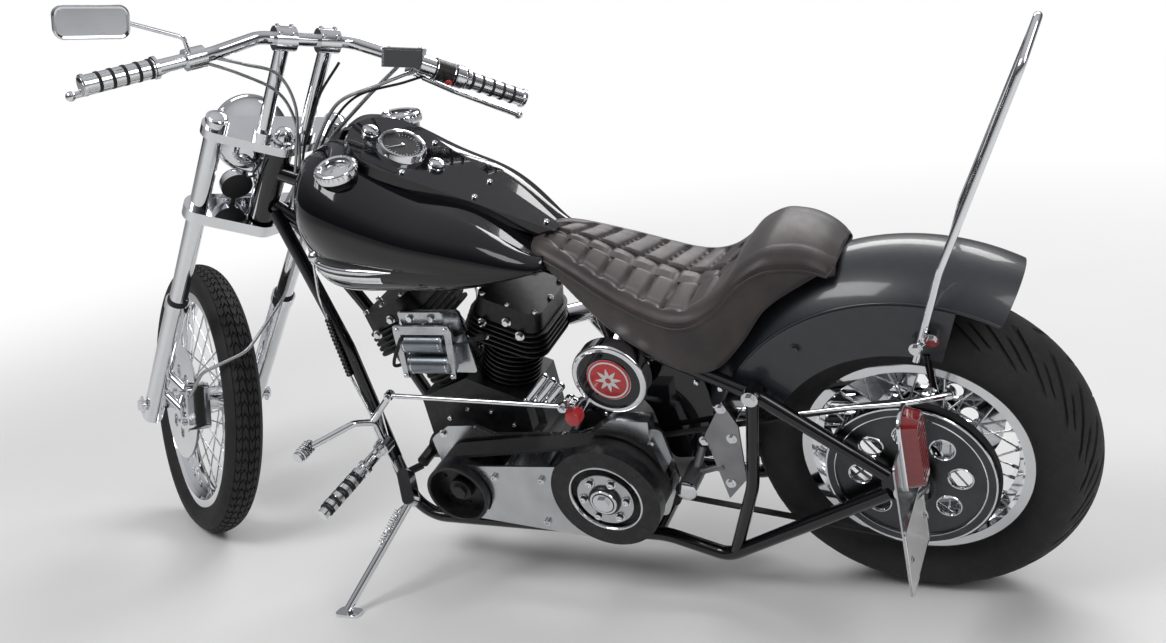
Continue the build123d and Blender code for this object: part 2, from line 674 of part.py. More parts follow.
# Places behind the axle and above it
SISSY_SIDE = ((-40, SISSY_Y, 263), (-97, SISSY_Y, 439), (-240, 70, 760))
SISSY_TIP = (-262, 0, REAR_RADIUS + 815)
SISSY_BOLTS = ((-46, 294), (-74, 312))
with BuildPart() as sissy_bar:
    right_side = [(x, -y, z + REAR_RADIUS) for x, y, z in SISSY_SIDE]
    left_side = [(x, -y, z) for x, y, z in reversed(right_side)]
    tube([*right_side, SISSY_TIP, *left_side], [60, 40, 24, 40, 60], SISSY_RADIUS)
    for x, z in SISSY_BOLTS:
        for hand in SIDES.values():
            disc((x, z + REAR_RADIUS), hand * (SISSY_Y + 12), hand * STRUT_Y, 9)
    for hand in SIDES.values():
        start, end = [(x, hand * SISSY_Y, z + REAR_RADIUS) for x, z in SISSY_BOLTS]
        bar(start, end, SISSY_RADIUS)
finish(sissy_bar, "sissy_bar")

# Rear axle and brake, tail lamp and plate
NUT_RADIUS = 17
PULLEY_FACE = DRIVE_Y + 7
DISC_THICKNESS = 6
DISC_INNER_Y = REAR_HUB_WIDTH / 2
with BuildPart() as rear_axle:
    disc((0, REAR_RADIUS), STAY_Y + 26, -STAY_Y - 26, AXLE_RADIUS)
    for hand in SIDES.values():
        with BuildSketch(side(hand * (STAY_Y + STAY_PLATE / 2 + CLAMP_FIT))):
            with Locations((0, REAR_RADIUS)):
                RegularPolygon(NUT_RADIUS, 6)
        extrude(amount=-16 * hand)
        inner_y = PULLEY_FACE - 3 if hand > 0 else DISC_INNER_Y + DISC_THICKNESS + 1
        disc((0, REAR_RADIUS), hand * (STAY_Y - STAY_PLATE / 2), hand * inner_y, 16)
    clear_of(*cradles.values())
finish(rear_axle, "rear_axle")

with BuildPart() as rear_caliper:
    with BuildSketch(side(-66)):
        with Locations(Location((88, REAR_RADIUS + 88), 45)):
            RectangleRounded(64, 96, 12)
    extrude(amount=56)
    disc((0, REAR_RADIUS), -79, -95, DISC_RADIUS + SIDE_GAP, Mode.SUBTRACT)
    disc((74, REAR_RADIUS + 74), -128, -121, 14)
    bar((100, -100, REAR_RADIUS + 75), (100, -STAY_Y, REAR_RADIUS + 62), 9)
    clear_of(rear_frame)
finish(rear_caliper, "rear_caliper")

PLATE_X = -30
PLATE_SHEET = 3
PLATE_BOLT_PITCH = 120
PLATE_BOLT_Z = 300
PLATE_BOLT_HOLE = 3.5
with BuildPart() as plate_bracket:
    with BuildSketch(Plane.YZ.offset(PLATE_X)):
        with Locations((250, 370)):
            RectangleRounded(165, 285, 10)
        with Locations(*[(250 + hand * PLATE_BOLT_PITCH / 2, PLATE_BOLT_Z) for hand in SIDES.values()]):
            Circle(PLATE_BOLT_HOLE, mode=Mode.SUBTRACT)
    extrude(amount=-PLATE_SHEET)
    disc((-34, REAR_RADIUS + 8), STAY_Y + 22, STAY_Y + STAY_PLATE / 2, 9)
    bar((-34, STAY_Y + 14, REAR_RADIUS + 8), (PLATE_X - 1, STAY_Y + 80, REAR_RADIUS + 40), 8)
finish(plate_bracket, "plate_bracket")

with BuildPart() as tail_light:
    with BuildSketch(Plane.YZ.offset(PLATE_X - PLATE_SHEET)):
        with Locations((250, 495)):
            RectangleRounded(66, 150, 22)
    extrude(amount=-32, taper=14)
finish(tail_light, "tail_light")


# Wheels, each drawn about its own axle along Z
def tyre(radius, width, crown, rim_radius, rim_width):
    """Revolves a tyre: a round crown, bulging walls and an air space inside."""
    shoulder = radians(38)
    shoulder_r = radius - crown + crown * cos(shoulder)
    shoulder_y = crown * sin(shoulder)
    wall_r = (shoulder_r + rim_radius) / 2
    bead_r = rim_radius + 8
    bead_y = rim_width / 2
    with BuildSketch(Plane.XZ) as section:
        with BuildLine():
            ThreePointArc((shoulder_r, -shoulder_y), (radius, 0), (shoulder_r, shoulder_y))
            ThreePointArc((shoulder_r, shoulder_y), (wall_r, width / 2), (bead_r, bead_y))
            Line((bead_r, bead_y), (bead_r, bead_y - BEAD_WIDTH))
            ThreePointArc((bead_r, bead_y - BEAD_WIDTH), (radius - TYRE_WALL, 0), (bead_r, BEAD_WIDTH - bead_y))
            Line((bead_r, BEAD_WIDTH - bead_y), (bead_r, -bead_y))
            ThreePointArc((bead_r, -bead_y), (wall_r, -width / 2), (shoulder_r, -shoulder_y))
        make_face()
    revolve(section.sketch, axis=Axis.Z)


def slab(radius, low, high, mode=Mode.ADD):
    """Adds or cuts a round slab about a wheel's own axle."""
    with BuildSketch(Plane.XY.offset(low)) as section:
        Circle(radius)
    extrude(section.sketch, amount=high - low, mode=mode)


def wheel(rim_radius, rim_width, hub_radius, hub_width, spokes):
    """Revolves a rim and a hub, laces them with crossed spokes and bores the hub for its axle."""
    half = rim_width / 2
    shelf = 0.75 * half
    well = 0.36 * half
    # The rim's section round from one bead seat over the well to the other: radius step, place
    outside = ((8, half), (-10, half), (-14, shelf), (-24, well))
    inside = ((-19, well - 4), (-6, half - 5), (8, half - 4))
    with BuildSketch(Plane.XZ) as section:
        with BuildLine():
            Polyline(
                *[(rim_radius + step, place) for step, place in outside],
                *[(rim_radius + step, -place) for step, place in reversed(outside)],
                *[(rim_radius + step, -place) for step, place in reversed(inside)],
                *[(rim_radius + step, place) for step, place in inside],
                close=True,
            )
        make_face()
    revolve(section.sketch, axis=Axis.Z)
    slab(hub_radius, -hub_width / 2, hub_width / 2)
    flange = hub_width / 2 - 14
    for hand in (1, -1):
        slab(hub_radius + 14, hand * flange - 3, hand * flange + 3)
        for lean_way in (1, -1):
            start = Vector(hub_radius + 6, 0, hand * flange)
            turn = lean_way * radians(52)
            stop = Vector((rim_radius - 20) * cos(turn), (rim_radius - 20) * sin(turn), hand * 6)
            with BuildPart(mode=Mode.PRIVATE) as spoke:
                bar(start, stop, SPOKE_RADIUS)
            offset_turn = 0 if lean_way > 0 else 9
            with PolarLocations(0, spokes, start_angle=offset_turn + (hand + 1) * 9):
                add(spoke.part)
    slab(AXLE_RADIUS + PIN_FIT, -hub_width, hub_width, Mode.SUBTRACT)


with BuildPart() as rear_tyre:
    tyre(REAR_RADIUS, REAR_TYRE_WIDTH, REAR_CROWN, REAR_RIM_RADIUS, REAR_RIM_WIDTH)
finish(rear_tyre, "rear_tyre", REAR_WHEEL)

with BuildPart() as rear_rim:
    slab(DISC_RADIUS, -DISC_INNER_Y - DISC_THICKNESS, -DISC_INNER_Y)
    with BuildSketch(Plane.XY.offset(-DISC_INNER_Y - DISC_THICKNESS)) as holes:
        with PolarLocations(78, 8):
            Circle(17)
    extrude(holes.sketch, amount=DISC_THICKNESS, mode=Mode.SUBTRACT)
    wheel(REAR_RIM_RADIUS, REAR_RIM_WIDTH, 42, REAR_HUB_WIDTH, SPOKES_A_GROUP)
finish(rear_rim, "rear_wheel_rim", REAR_WHEEL)

PULLEY_TEETH = 70
PULLEY_BACK = DRIVE_Y - DRIVE_WIDTH - 2
PULLEY_HOLES = 8
with BuildPart() as drive_pulley:
    with BuildSketch(Plane.XY.offset(PULLEY_BACK)):
        Circle(DRIVE_RADIUS)
        Circle(DRIVE_RADIUS - 20, mode=Mode.SUBTRACT)
        with PolarLocations(DRIVE_RADIUS, PULLEY_TEETH):
            Rectangle(7, 7, mode=Mode.SUBTRACT)
    extrude(amount=PULLEY_FACE - PULLEY_BACK)
    with BuildSketch(Plane.XY.offset(PULLEY_FACE - 10)):
        Circle(DRIVE_RADIUS - 18)
        with PolarLocations(91, PULLEY_HOLES):
            Circle(21, mode=Mode.SUBTRACT)
    extrude(amount=6)
    slab(48, DISC_INNER_Y + 0.5, PULLEY_FACE - 4)
    slab(AXLE_RADIUS + PIN_FIT, 0, PULLEY_FACE, Mode.SUBTRACT)
finish(drive_pulley, "drive_pulley", REAR_WHEEL)

with BuildPart() as front_tyre:
    tyre(FRONT_RADIUS, FRONT_TYRE_WIDTH, FRONT_CROWN, FRONT_RIM_RADIUS, FRONT_RIM_WIDTH)
finish(front_tyre, "front_tyre", FRONT_WHEEL)

FRONT_DISC_Y = FRONT_HUB_WIDTH / 2
with BuildPart() as front_rim:
    slab(DISC_RADIUS, FRONT_DISC_Y - 3, FRONT_DISC_Y + 3)
    with BuildSketch(Plane.XY.offset(FRONT_DISC_Y - 3)) as holes:
        with PolarLocations(78, 8):
            Circle(17)
    extrude(holes.sketch, amount=DISC_THICKNESS, mode=Mode.SUBTRACT)
    wheel(FRONT_RIM_RADIUS, FRONT_RIM_WIDTH, 30, FRONT_HUB_WIDTH, SPOKES_A_GROUP)
finish(front_rim, "front_wheel_rim", FRONT_WHEEL)


# Steering: drawn about the steering axis, X ahead of it, Z up along it from the axle's level
def tree(low, thickness, clamp_radius, stem_radius):
    """Adds a fork tree: a plate round both legs and the stem, bored for the legs."""
    with BuildSketch(Plane.XY.offset(low)) as plate:
        with BuildLine():
            for y in (FORK_Y, -FORK_Y):
                CenterArc((FORK_OFFSET, y), clamp_radius, 0, 360)
            CenterArc((0, 0), stem_radius, 0, 360)
        make_hull()
    extrude(plate.sketch, amount=thickness)
    for y in (FORK_Y, -FORK_Y):
        bar((FORK_OFFSET, y, low), (FORK_OFFSET, y, low + thickness), FORK_TUBE_RADIUS + CLAMP_FIT, Mode.SUBTRACT)


with BuildPart() as lower_tree:
    tree(LOWER_TREE_Z, TREE_THICKNESS, 32, 36)
    bar((0, 0, LOWER_TREE_Z), (0, 0, UPPER_TREE_Z + UPPER_TREE_THICKNESS), STEM_RADIUS)
finish(lower_tree, "lower_tree", TURNED)

with BuildPart() as upper_tree:
    tree(UPPER_TREE_Z, UPPER_TREE_THICKNESS, 30, 34)
    bar((0, 0, UPPER_TREE_Z), (0, 0, UPPER_TREE_Z + UPPER_TREE_THICKNESS), STEM_RADIUS + CLAMP_FIT, Mode.SUBTRACT)
finish(upper_tree, "upper_tree", TURNED)

fork_legs = {}
for name, hand in SIDES.items():
    with BuildPart() as fork_leg:
        foot = (FORK_OFFSET, hand * FORK_Y, SLIDER_END)
        bar(foot, (FORK_OFFSET, hand * FORK_Y, SLIDER_TOP), SLIDER_RADIUS)
        bar((FORK_OFFSET, hand * FORK_Y, SLIDER_TOP), (FORK_OFFSET, hand * FORK_Y, FORK_TOP), FORK_TUBE_RADIUS)
        bar(
            (FORK_OFFSET, hand * FORK_Y, UPPER_TREE_Z + UPPER_TREE_THICKNESS),
            (FORK_OFFSET, hand * FORK_Y, FORK_TOP + 7),
            FORK_TUBE_RADIUS + 4,
        )
        bar((FORK_OFFSET, hand * FORK_Y, SLIDER_TOP - 14), (FORK_OFFSET, hand * FORK_Y, SLIDER_TOP + 9), SLIDER_RADIUS + 3)
        bar((FORK_OFFSET, 170, 0), (FORK_OFFSET, -170, 0), AXLE_RADIUS + CLAMP_FIT, Mode.SUBTRACT)
    fork_legs[name] = fork_leg
    finish(fork_leg, f"fork_leg_{name}", TURNED)

CLAMP_X = 12
with BuildPart() as risers:
    for y in (RISER_Y, -RISER_Y):
        bar((0, y, UPPER_TREE_Z + UPPER_TREE_THICKNESS), (CLAMP_X, y, BAR_HEIGHT), 14)
        bar((0, y, UPPER_TREE_Z + UPPER_TREE_THICKNESS), (1, y, UPPER_TREE_Z + UPPER_TREE_THICKNESS + 26), 21)
        bar((CLAMP_X, y - 21, BAR_HEIGHT), (CLAMP_X, y + 21, BAR_HEIGHT), 24)
    clear_of(upper_tree)
    bar((CLAMP_X, 90, BAR_HEIGHT), (CLAMP_X, -90, BAR_HEIGHT), BAR_RADIUS + CLAMP_FIT, Mode.SUBTRACT)
finish(risers, "risers", TURNED)

BAR_INNER = Vector(CLAMP_X, 95, BAR_HEIGHT)
BAR_BEND = Vector(-66, 208, BAR_HEIGHT + 14)
BAR_TIP = Vector(-124, 436, BAR_HEIGHT - 20)


def mirrored(point, hand):
    """The same place on the left or the right of the bike."""
    return (point.X, hand * point.Y, point.Z)


def on_bar(y):
    """The place on the handlebar's outer run at a distance to the left, negative to the right."""
    point = BAR_BEND + (BAR_TIP - BAR_BEND) * ((abs(y) - BAR_BEND.Y) / (BAR_TIP.Y - BAR_BEND.Y))
    return mirrored(point, 1 if y > 0 else -1)


with BuildPart() as handlebar:
    half_bar = [mirrored(point, 1) for point in (BAR_INNER, BAR_BEND, BAR_TIP)]
    tube([*[(x, -y, z) for x, y, z in reversed(half_bar)], *half_bar], 60, BAR_RADIUS)
finish(handlebar, "handlebar", TURNED)

GRIP_START = 310
grips = {}
for name, hand in SIDES.items():
    with BuildPart() as grip:
        bar(on_bar(hand * GRIP_START), on_bar(hand * (BAR_TIP.Y + 7)), GRIP_RADIUS)
        if hand < 0:
            bar(on_bar(-286), on_bar(-304), GRIP_RADIUS + 5)
            bar(on_bar(-303), on_bar(-312), GRIP_RADIUS - 1)
        bar(on_bar(hand * (GRIP_START - 40)), mirrored(BAR_TIP, hand), BAR_RADIUS + CLAMP_FIT, Mode.SUBTRACT)
    grips[name] = grip
    finish(grip, f"grip_{name}", TURNED)

with BuildPart() as front_axle:
    bar((FORK_OFFSET, 158, 0), (FORK_OFFSET, -158, 0), AXLE_RADIUS)
    for hand in SIDES.values():
        bar(
            (FORK_OFFSET, hand * (FRONT_DISC_Y + 4), 0),
            (FORK_OFFSET, hand * (FORK_Y - SLIDER_RADIUS + 1), 0),
            15,
        )
    clear_of(*fork_legs.values())
finish(front_axle, "front_axle", TURNED)

# The lamp: a bullet drawn along its own Z, then pointed level ahead in front of the neck
LAMP_RADIUS = 82
LEVEL_AHEAD = Vector(cos(radians(RAKE)), 0, -sin(radians(RAKE)))
LAMP_CENTRE = Vector(140, 0, LOWER_TREE_Z + 145)
with BuildPart(mode=Mode.PRIVATE) as lamp:
    with BuildSketch(Plane.XZ):
        with BuildLine():
            bowl = ThreePointArc((14, -66), (0.75 * LAMP_RADIUS, -36), (LAMP_RADIUS, 20))
            rim = Polyline(bowl @ 1, (LAMP_RADIUS + 4, 22), (LAMP_RADIUS + 4, 38), (LAMP_RADIUS - 6, 44))
            lens = ThreePointArc(rim @ 1, (0.5 * LAMP_RADIUS, 53), (14, 56))
            Polyline(lens @ 1, (0, 56), (0, -66), (14, -66))
        make_face()
    revolve(axis=Axis.Z)
with BuildPart() as headlight:
    add(Plane(origin=LAMP_CENTRE, x_dir=(0, 1, 0), z_dir=LEVEL_AHEAD).location * lamp.part)
    bar((52, 0, LOWER_TREE_Z + TREE_THICKNESS), (52, 0, LOWER_TREE_Z + 80), 12)
    bar((52, 0, LOWER_TREE_Z + 70), tuple(LAMP_CENTRE - Vector(20, 0, 25)), 11)
finish(headlight, "headlight", TURNED)

HORN_Y = 52
HORN_Z = LOWER_TREE_Z + 78
with BuildPart() as horn:
    bar((44, HORN_Y, HORN_Z), (62, HORN_Y, HORN_Z), 34)
    bar((60, HORN_Y, HORN_Z), (70, HORN_Y, HORN_Z), 26)
    bar((52, HORN_Y, HORN_Z), (52, HORN_Y, LOWER_TREE_Z + TREE_THICKNESS), 7)
    clear_of(lower_tree, headlight)
finish(horn, "horn", TURNED)

LEVER_RADIUS = 6
with BuildPart() as clutch_lever:
    bar(on_bar(222), on_bar(258), 20)
    bar(on_bar(240), (-46, 240, BAR_HEIGHT - 16), 10)
    tube([(-46, 240, BAR_HEIGHT - 16), (-58, 300, BAR_HEIGHT - 44), (-84, 446, BAR_HEIGHT - 78)], 60, LEVER_RADIUS)
    with Locations((-84, 446, BAR_HEIGHT - 78)):
        Sphere(LEVER_RADIUS + 3)
    tube([(-77, 250, BAR_HEIGHT + 16), (-92, 272, BAR_HEIGHT + 66), (-64, 384, BAR_HEIGHT + 76)], 14, 4)
    with BuildSketch(Plane(origin=(-78, 425, BAR_HEIGHT + 78), x_dir=(-0.11, 1, 0), z_dir=(-0.85, -0.1, 0.52))):
        RectangleRounded(130, 58, 18)
    extrude(amount=-14, taper=12)
    clear_of(handlebar)
finish(clutch_lever, "clutch_lever", TURNED)

with BuildPart() as front_brake_lever:
    bar(on_bar(-210), on_bar(-240), 20)
    with BuildSketch(Plane(origin=(-36, -186, BAR_HEIGHT + 22), x_dir=(-0.57, -0.82, 0.08), z_dir=(0.61, 0, 0.79))):
        RectangleRounded(86, 42, 7)
    extrude(amount=-34)
    bar(on_bar(-225), (-30, -215, BAR_HEIGHT - 34), 10)
    tube([(-30, -215, BAR_HEIGHT - 34), (-52, -320, BAR_HEIGHT - 64), (-92, -470, BAR_HEIGHT - 92)], 60, LEVER_RADIUS)
    with Locations((-92, -470, BAR_HEIGHT - 92)):
        Sphere(LEVER_RADIUS + 3)
    clear_of(handlebar)
finish(front_brake_lever, "front_brake_lever", TURNED)

with BuildPart() as switch_housing:
    bar(on_bar(-242), on_bar(-284), 22)
    clear_of(handlebar, front_brake_lever)
finish(switch_housing, "switch_housing", TURNED)

# Front brake, straddling its disc behind the left leg
CALIPER_ANGLE = 134
CALIPER_REACH = 140
caliper_spot = (
    FORK_OFFSET + CALIPER_REACH * cos(radians(CALIPER_ANGLE)),
    CALIPER_REACH * sin(radians(CALIPER_ANGLE)),
)
with BuildPart() as front_caliper:
    with BuildSketch(side(94)):
        with Locations(Location((*caliper_spot, 0), CALIPER_ANGLE)):
            RectangleRounded(74, 112, 14)
    extrude(amount=54)
    with BuildSketch(side(94)):
        with Locations(Location((*caliper_spot, 0), CALIPER_ANGLE)):
            RectangleRounded(36, 50, 6)
    extrude(amount=7, mode=Mode.SUBTRACT)
    disc((FORK_OFFSET, 0), FRONT_DISC_Y + 8, FRONT_DISC_Y - 8, DISC_RADIUS + SIDE_GAP, Mode.SUBTRACT)
    for z in (60, 130):
        bar((-34, 84, z), (FORK_OFFSET - 10, 116, z), 10)
    clear_of(*fork_legs.values())
finish(front_caliper, "front_caliper", TURNED)

HOSE_RADIUS = 4
HOSE_ROUTE = (
    (-62, 88, 150), (-84, 84, 262), (-108, 0, 356), (-30, -92, 450), (-28, -92, 940),
    (-24, -150, 1050), (-32, -190, BAR_HEIGHT - 16),
)
with BuildPart() as front_brake_hose:
    tube(list(HOSE_ROUTE), [50, 60, 60, 60, 50], HOSE_RADIUS)
    clear_of(front_caliper, front_brake_lever)
finish(front_brake_hose, "front_brake_hose", TURNED)

# Foot controls: a peg and a lever on each side, carried by the down tubes
def foot_peg(start, tip):
    """Adds a ribbed rubber peg from its joint to its outer end."""
    start, tip = Vector(*start), Vector(*tip)
    bar(start, tip, 12)
    for rib in range(PEG_RIBS):
        low = start + (tip - start) * ((rib + 1.5) / (PEG_RIBS + 2))
        bar(low, low + (tip - start).normalized() * 10, 16)


PEG_RIBS = 6
PEDAL_RADIUS = 7
SHIFT_ROD_Z = 549
with BuildPart() as control_left:
    bar(at(1186, 86, 402), at(1059, 240, 433), 13)
    disc(at(1059, 433), 256, 228, 18)
    foot_peg(at(1082, 250, 413), at(1118, 424, 389))
    bar(at(1059, 250, 433), at(1082, 250, 413), 12)
    tube([at(1059, 240, 433), at(1052, 252, 500), at(1070, 290, 524), at(1140, 366, 514)], [20, 20], PEDAL_RADIUS)
    bar(at(1140, 352, 514), at(1146, 398, 512), 12)
    bar(at(1052, 252, 506), at(997, 240, 562), PEDAL_RADIUS)
    bar(at(999, 240, 561), at(601, 240, SHIFT_ROD_Z), 5)
    bar(at(606, 240, SHIFT_ROD_Z), at(640, 150, 500), 7)
    bar(at(640, 150, 500), at(640, 60, 420), 9)
    disc(at(611, 496), 206, 150, 13)
    bar(at(611, 160, 496), at(640, 150, 500), 8)
    with Locations(at(640, 150, 500)):
        Sphere(12)
    clear_of(cradles["left"], transmission, round_cover, motor_plate)
finish(control_left, "control_left")

with BuildPart() as control_right:
    tube([at(1160, -108, 262), at(1160, -205, 300), at(1100, -236, 420)], 30, 11)
    disc(at(1100, 420), -222, -250, 18)
    foot_peg(at(1104, -240, 408), at(1124, -424, 389))
    tube([at(1100, -236, 420), at(1062, -262, 500), at(1140, -366, 520)], 20, PEDAL_RADIUS)
    bar(at(1140, -340, 520), at(1144, -398, 520), 14)
    clear_of(cradles["right"], exhaust_pipes)
finish(control_right, "control_right")

# Side stand, drawn in the bike's upright coordinates with its foot on the leaning bike's floor
with BuildPart() as side_stand:
    bar(STAND_PIVOT, (*STAND_FOOT, stand_floor + 12), STAND_LEG)
    with BuildSketch(STAND_HINGE):
        Circle(STAND_EYE)
    extrude(amount=STAND_LEG + 1.7, both=True)
    with BuildSketch(STAND_HINGE):
        Circle(STAND_PIN + PIN_FIT)
    extrude(amount=STAND_LEG + 8, both=True, mode=Mode.SUBTRACT)
    with BuildSketch(FLOOR):
        with Locations((stand_spot.X, stand_spot.Y)):
            RectangleRounded(60, 34, 12)
    extrude(amount=7)
finish(side_stand, "side_stand")

# The parked pose, moved so that the origin is below the middle of the whole bike
lows = [(LEANING * pose * piece.part).bounding_box() for piece, label, pose in pieces]
middle_x = (min(box.min.X for box in lows) + max(box.max.X for box in lows)) / 2
middle_y = (min(box.min.Y for box in lows) + max(box.max.Y for box in lows)) / 2
PARKED = Pos(-middle_x, -middle_y, 0) * LEANING
for piece, label, pose in pieces:
    piece.part.move(PARKED * pose)
    piece.part.label = label
    export_step(piece.part, f"parts/{label}.step")
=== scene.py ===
import bisect
import json
from math import atan2, cos, hypot, pi, radians, sin, sqrt

import bmesh
import bpy
from mathutils import Matrix, Vector
from mathutils.bvhtree import BVHTree


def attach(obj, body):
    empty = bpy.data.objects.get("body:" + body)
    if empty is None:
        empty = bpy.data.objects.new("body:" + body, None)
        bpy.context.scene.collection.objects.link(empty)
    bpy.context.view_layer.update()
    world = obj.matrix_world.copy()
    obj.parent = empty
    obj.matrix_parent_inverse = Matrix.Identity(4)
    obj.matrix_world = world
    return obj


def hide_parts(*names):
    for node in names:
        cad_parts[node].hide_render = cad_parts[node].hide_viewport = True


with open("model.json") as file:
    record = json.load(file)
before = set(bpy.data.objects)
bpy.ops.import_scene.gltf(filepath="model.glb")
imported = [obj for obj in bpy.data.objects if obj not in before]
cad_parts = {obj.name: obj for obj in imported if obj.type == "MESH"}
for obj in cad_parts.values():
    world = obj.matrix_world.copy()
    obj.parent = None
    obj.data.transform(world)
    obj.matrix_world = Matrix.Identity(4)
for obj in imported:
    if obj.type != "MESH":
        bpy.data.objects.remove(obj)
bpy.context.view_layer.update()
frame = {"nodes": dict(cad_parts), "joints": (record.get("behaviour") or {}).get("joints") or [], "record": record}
record = frame["record"]
nodes = frame["nodes"]

# Pieces are drawn in millimetres, in the coordinates of the part they sit on. Four frames take
# them to the parked bike: the bike upright from below its rear axle (X forward, Y left, Z up),
# the steering about its axis, and each wheel about its axle.
MILLIMETRE = 0.001
REAR_RADIUS = 325
RAKE = radians(37.6)
joints = {joint["name"]: joint for joint in frame["joints"]}


def joint_line(name):
    """A joint's place and direction at rest."""
    joint = joints[name]
    return Vector(joint["pos_m"]), Vector(joint["axis"]).normalized()


def frame_from(origin, ahead, left, up):
    """The frame with these axes, which takes millimetres to metres."""
    turn = Matrix((ahead, left, up)).transposed().to_4x4()
    return Matrix.Translation(origin) @ turn @ Matrix.Scale(MILLIMETRE, 4)


steering_place, steering_up = joint_line("steering_turn")
rear_place, rear_left = joint_line("rear_wheel_spin")
front_place, front_left = joint_line("front_wheel_spin")
rise = rear_left.cross(steering_up)
bike_ahead = cos(RAKE) * rise - sin(RAKE) * steering_up
bike_up = sin(RAKE) * rise + cos(RAKE) * steering_up
BIKE = frame_from(rear_place - bike_up * REAR_RADIUS * MILLIMETRE, bike_ahead, rear_left, bike_up)
STEERING = frame_from(steering_place, front_left.cross(steering_up), front_left, steering_up)
REAR_WHEEL = frame_from(rear_place, bike_ahead, -bike_up, rear_left)
FRONT_WHEEL = frame_from(front_place, front_left.cross(steering_up), -steering_up, front_left)
BODY_FRAMES = {
    "chassis": BIKE,
    "side_stand": BIKE,
    "steering": STEERING,
    "front_wheel": FRONT_WHEEL,
    "rear_wheel": REAR_WHEEL,
}

FORWARD, LEFT, RIGHT, REARWARD = (1, 0, 0), (0, 1, 0), (0, -1, 0), (-1, 0, 0)
UP = Vector((0, 0, 1))
SIDES = {"left": 1, "right": -1}
HANDS = tuple(SIDES.values())

# Centres that the engine, the belt drive and the cover are built round
WHEELBASE = 1822
CRANK_X = 0.5077 * WHEELBASE
CRANK = Vector((CRANK_X, 0, 304))
CLUTCH = Vector((0.3205 * WHEELBASE, 0, 308))
COVER = Vector((0.2991 * WHEELBASE, 0, 549))


# Finishes
class Value:
    """A node's output, on which maths is written as on a number."""

    def __init__(self, tree, socket):
        self.tree = tree
        self.socket = socket

    def maths(self, operation, *others):
        """Maths with others, as vectors where a colour or vector takes part."""
        values = (self, *others)
        kind = "ShaderNodeVectorMath" if any(is_colour(value) for value in values) else "ShaderNodeMath"
        return self.tree.node(kind, {"operation": operation}, dict(enumerate(values)))

    def __add__(self, other):
        return self.maths("ADD", other)

    __radd__ = __add__

    def __mul__(self, other):
        return self.maths("MULTIPLY", other)

    __rmul__ = __mul__


def is_colour(value):
    """Whether a value is a colour or vector output."""
    return isinstance(value, Value) and value.socket.type in ("RGBA", "VECTOR")


class Tree:
    """A tree of shader nodes, which one method adds."""

    def __init__(self, tree):
        self.tree = tree

    def node(self, kind, settings, inputs, output=0):
        """Adds a node, its settings first, then the values or links of its sockets."""
        made = self.tree.nodes.new(kind)
        for setting, value in settings.items():
            if setting == "stops":
                ramp = made.color_ramp.elements
                while len(ramp) < len(value):
                    ramp.new(0.5)
                for stop, (position, colour) in zip(ramp, value):
                    stop.position = position
                    stop.color = (*colour, 1)
            else:
                setattr(made, setting, value)
        for socket, value in inputs.items():
            if isinstance(value, Value):
                self.tree.links.new(value.socket, made.inputs[socket])
            else:
                made.inputs[socket].default_value = value
        return Value(self, made.outputs[output]) if made.outputs else None

    def ramp(self, share, *stops):
        """Colours along a share from 0 to 1."""
        return self.node("ShaderNodeValToRGB", {"stops": stops}, {"Fac": share})


# The sockets of a Mix node that take and give colours
FIRST_COLOUR, SECOND_COLOUR, MIXED_COLOUR = 6, 7, 2


class Finish(Tree):
    """A procedural material with one Principled shader."""

    def __init__(self, name, **constants):
        self.material = bpy.data.materials.new(name)
        self.material.use_nodes = True
        super().__init__(self.material.node_tree)
        self.shader = self.tree.nodes["Principled BSDF"]
        for socket, value in constants.items():
            self.shader.inputs[socket.replace("_", " ")].default_value = value
        self.place = self.node("ShaderNodeTexCoord", {}, {}, "Object")

    def feed(self, socket, value):
        """Links a varying value to one of the shader's sockets."""
        self.tree.links.new(value.socket, self.shader.inputs[socket])

    def noise(self, scale, detail=3, roughness=0.5, stretch=(1, 1, 1)):
        """Soft random mottling, in features per metre."""
        where = self.place
        if stretch != (1, 1, 1):
            where = self.node("ShaderNodeMapping", {}, {"Vector": self.place, "Scale": stretch})
        inputs = {"Vector": where, "Scale": scale, "Detail": detail, "Roughness": roughness}
        return self.node("ShaderNodeTexNoise", {}, inputs)

    def cells(self, scale):
        """The distance to the middles of random cells, in features per metre."""
        inputs = {"Vector": self.place, "Scale": scale}
        return self.node("ShaderNodeTexVoronoi", {"feature": "F1"}, inputs, "Distance")

    def between(self, share, low, high):
        """A number or colour between two others."""
        if isinstance(low, tuple):
            inputs = {"Factor": share, FIRST_COLOUR: (*low, 1), SECOND_COLOUR: (*high, 1)}
            return self.node("ShaderNodeMix", {"data_type": "RGBA"}, inputs, MIXED_COLOUR)
        return share * (high - low) + low

    def relief(self, height, strength, distance):
        """Feeds a bump of that height in metres."""
        inputs = {"Height": height, "Strength": strength, "Distance": distance}
        self.feed("Normal", self.node("ShaderNodeBump", {}, inputs))


def gloss_black(name, haze):
    """Black lacquer with a faint orange peel and wiped haze."""
    made = Finish(name, Coat_Weight=1.0, Coat_Roughness=0.03, Coat_IOR=1.45, Specular_IOR_Level=0.15)
    wiped = made.noise(14, 4)
    made.feed("Base Color", made.between(wiped, (0.002, 0.002, 0.003), (0.006, 0.006, 0.008)))
    made.feed("Roughness", made.between(made.noise(60, 3), haze, haze + 0.12))
    made.relief(made.noise(420, 2), 0.05, 0.0004)
    return made


def chrome_plate(name, tint):
    """Mirror plating with wiping marks and a slight wave."""
    made = Finish(name, Metallic=1.0, IOR=2.5)
    marks = made.noise(90, 5, 0.6)
    made.feed("Base Color", made.between(made.noise(20, 3), tuple(0.86 * c for c in tint), tint))
    made.feed("Roughness", made.between(marks, 0.02, 0.12))
    made.relief(made.noise(35, 2), 0.04, 0.001)
    return made


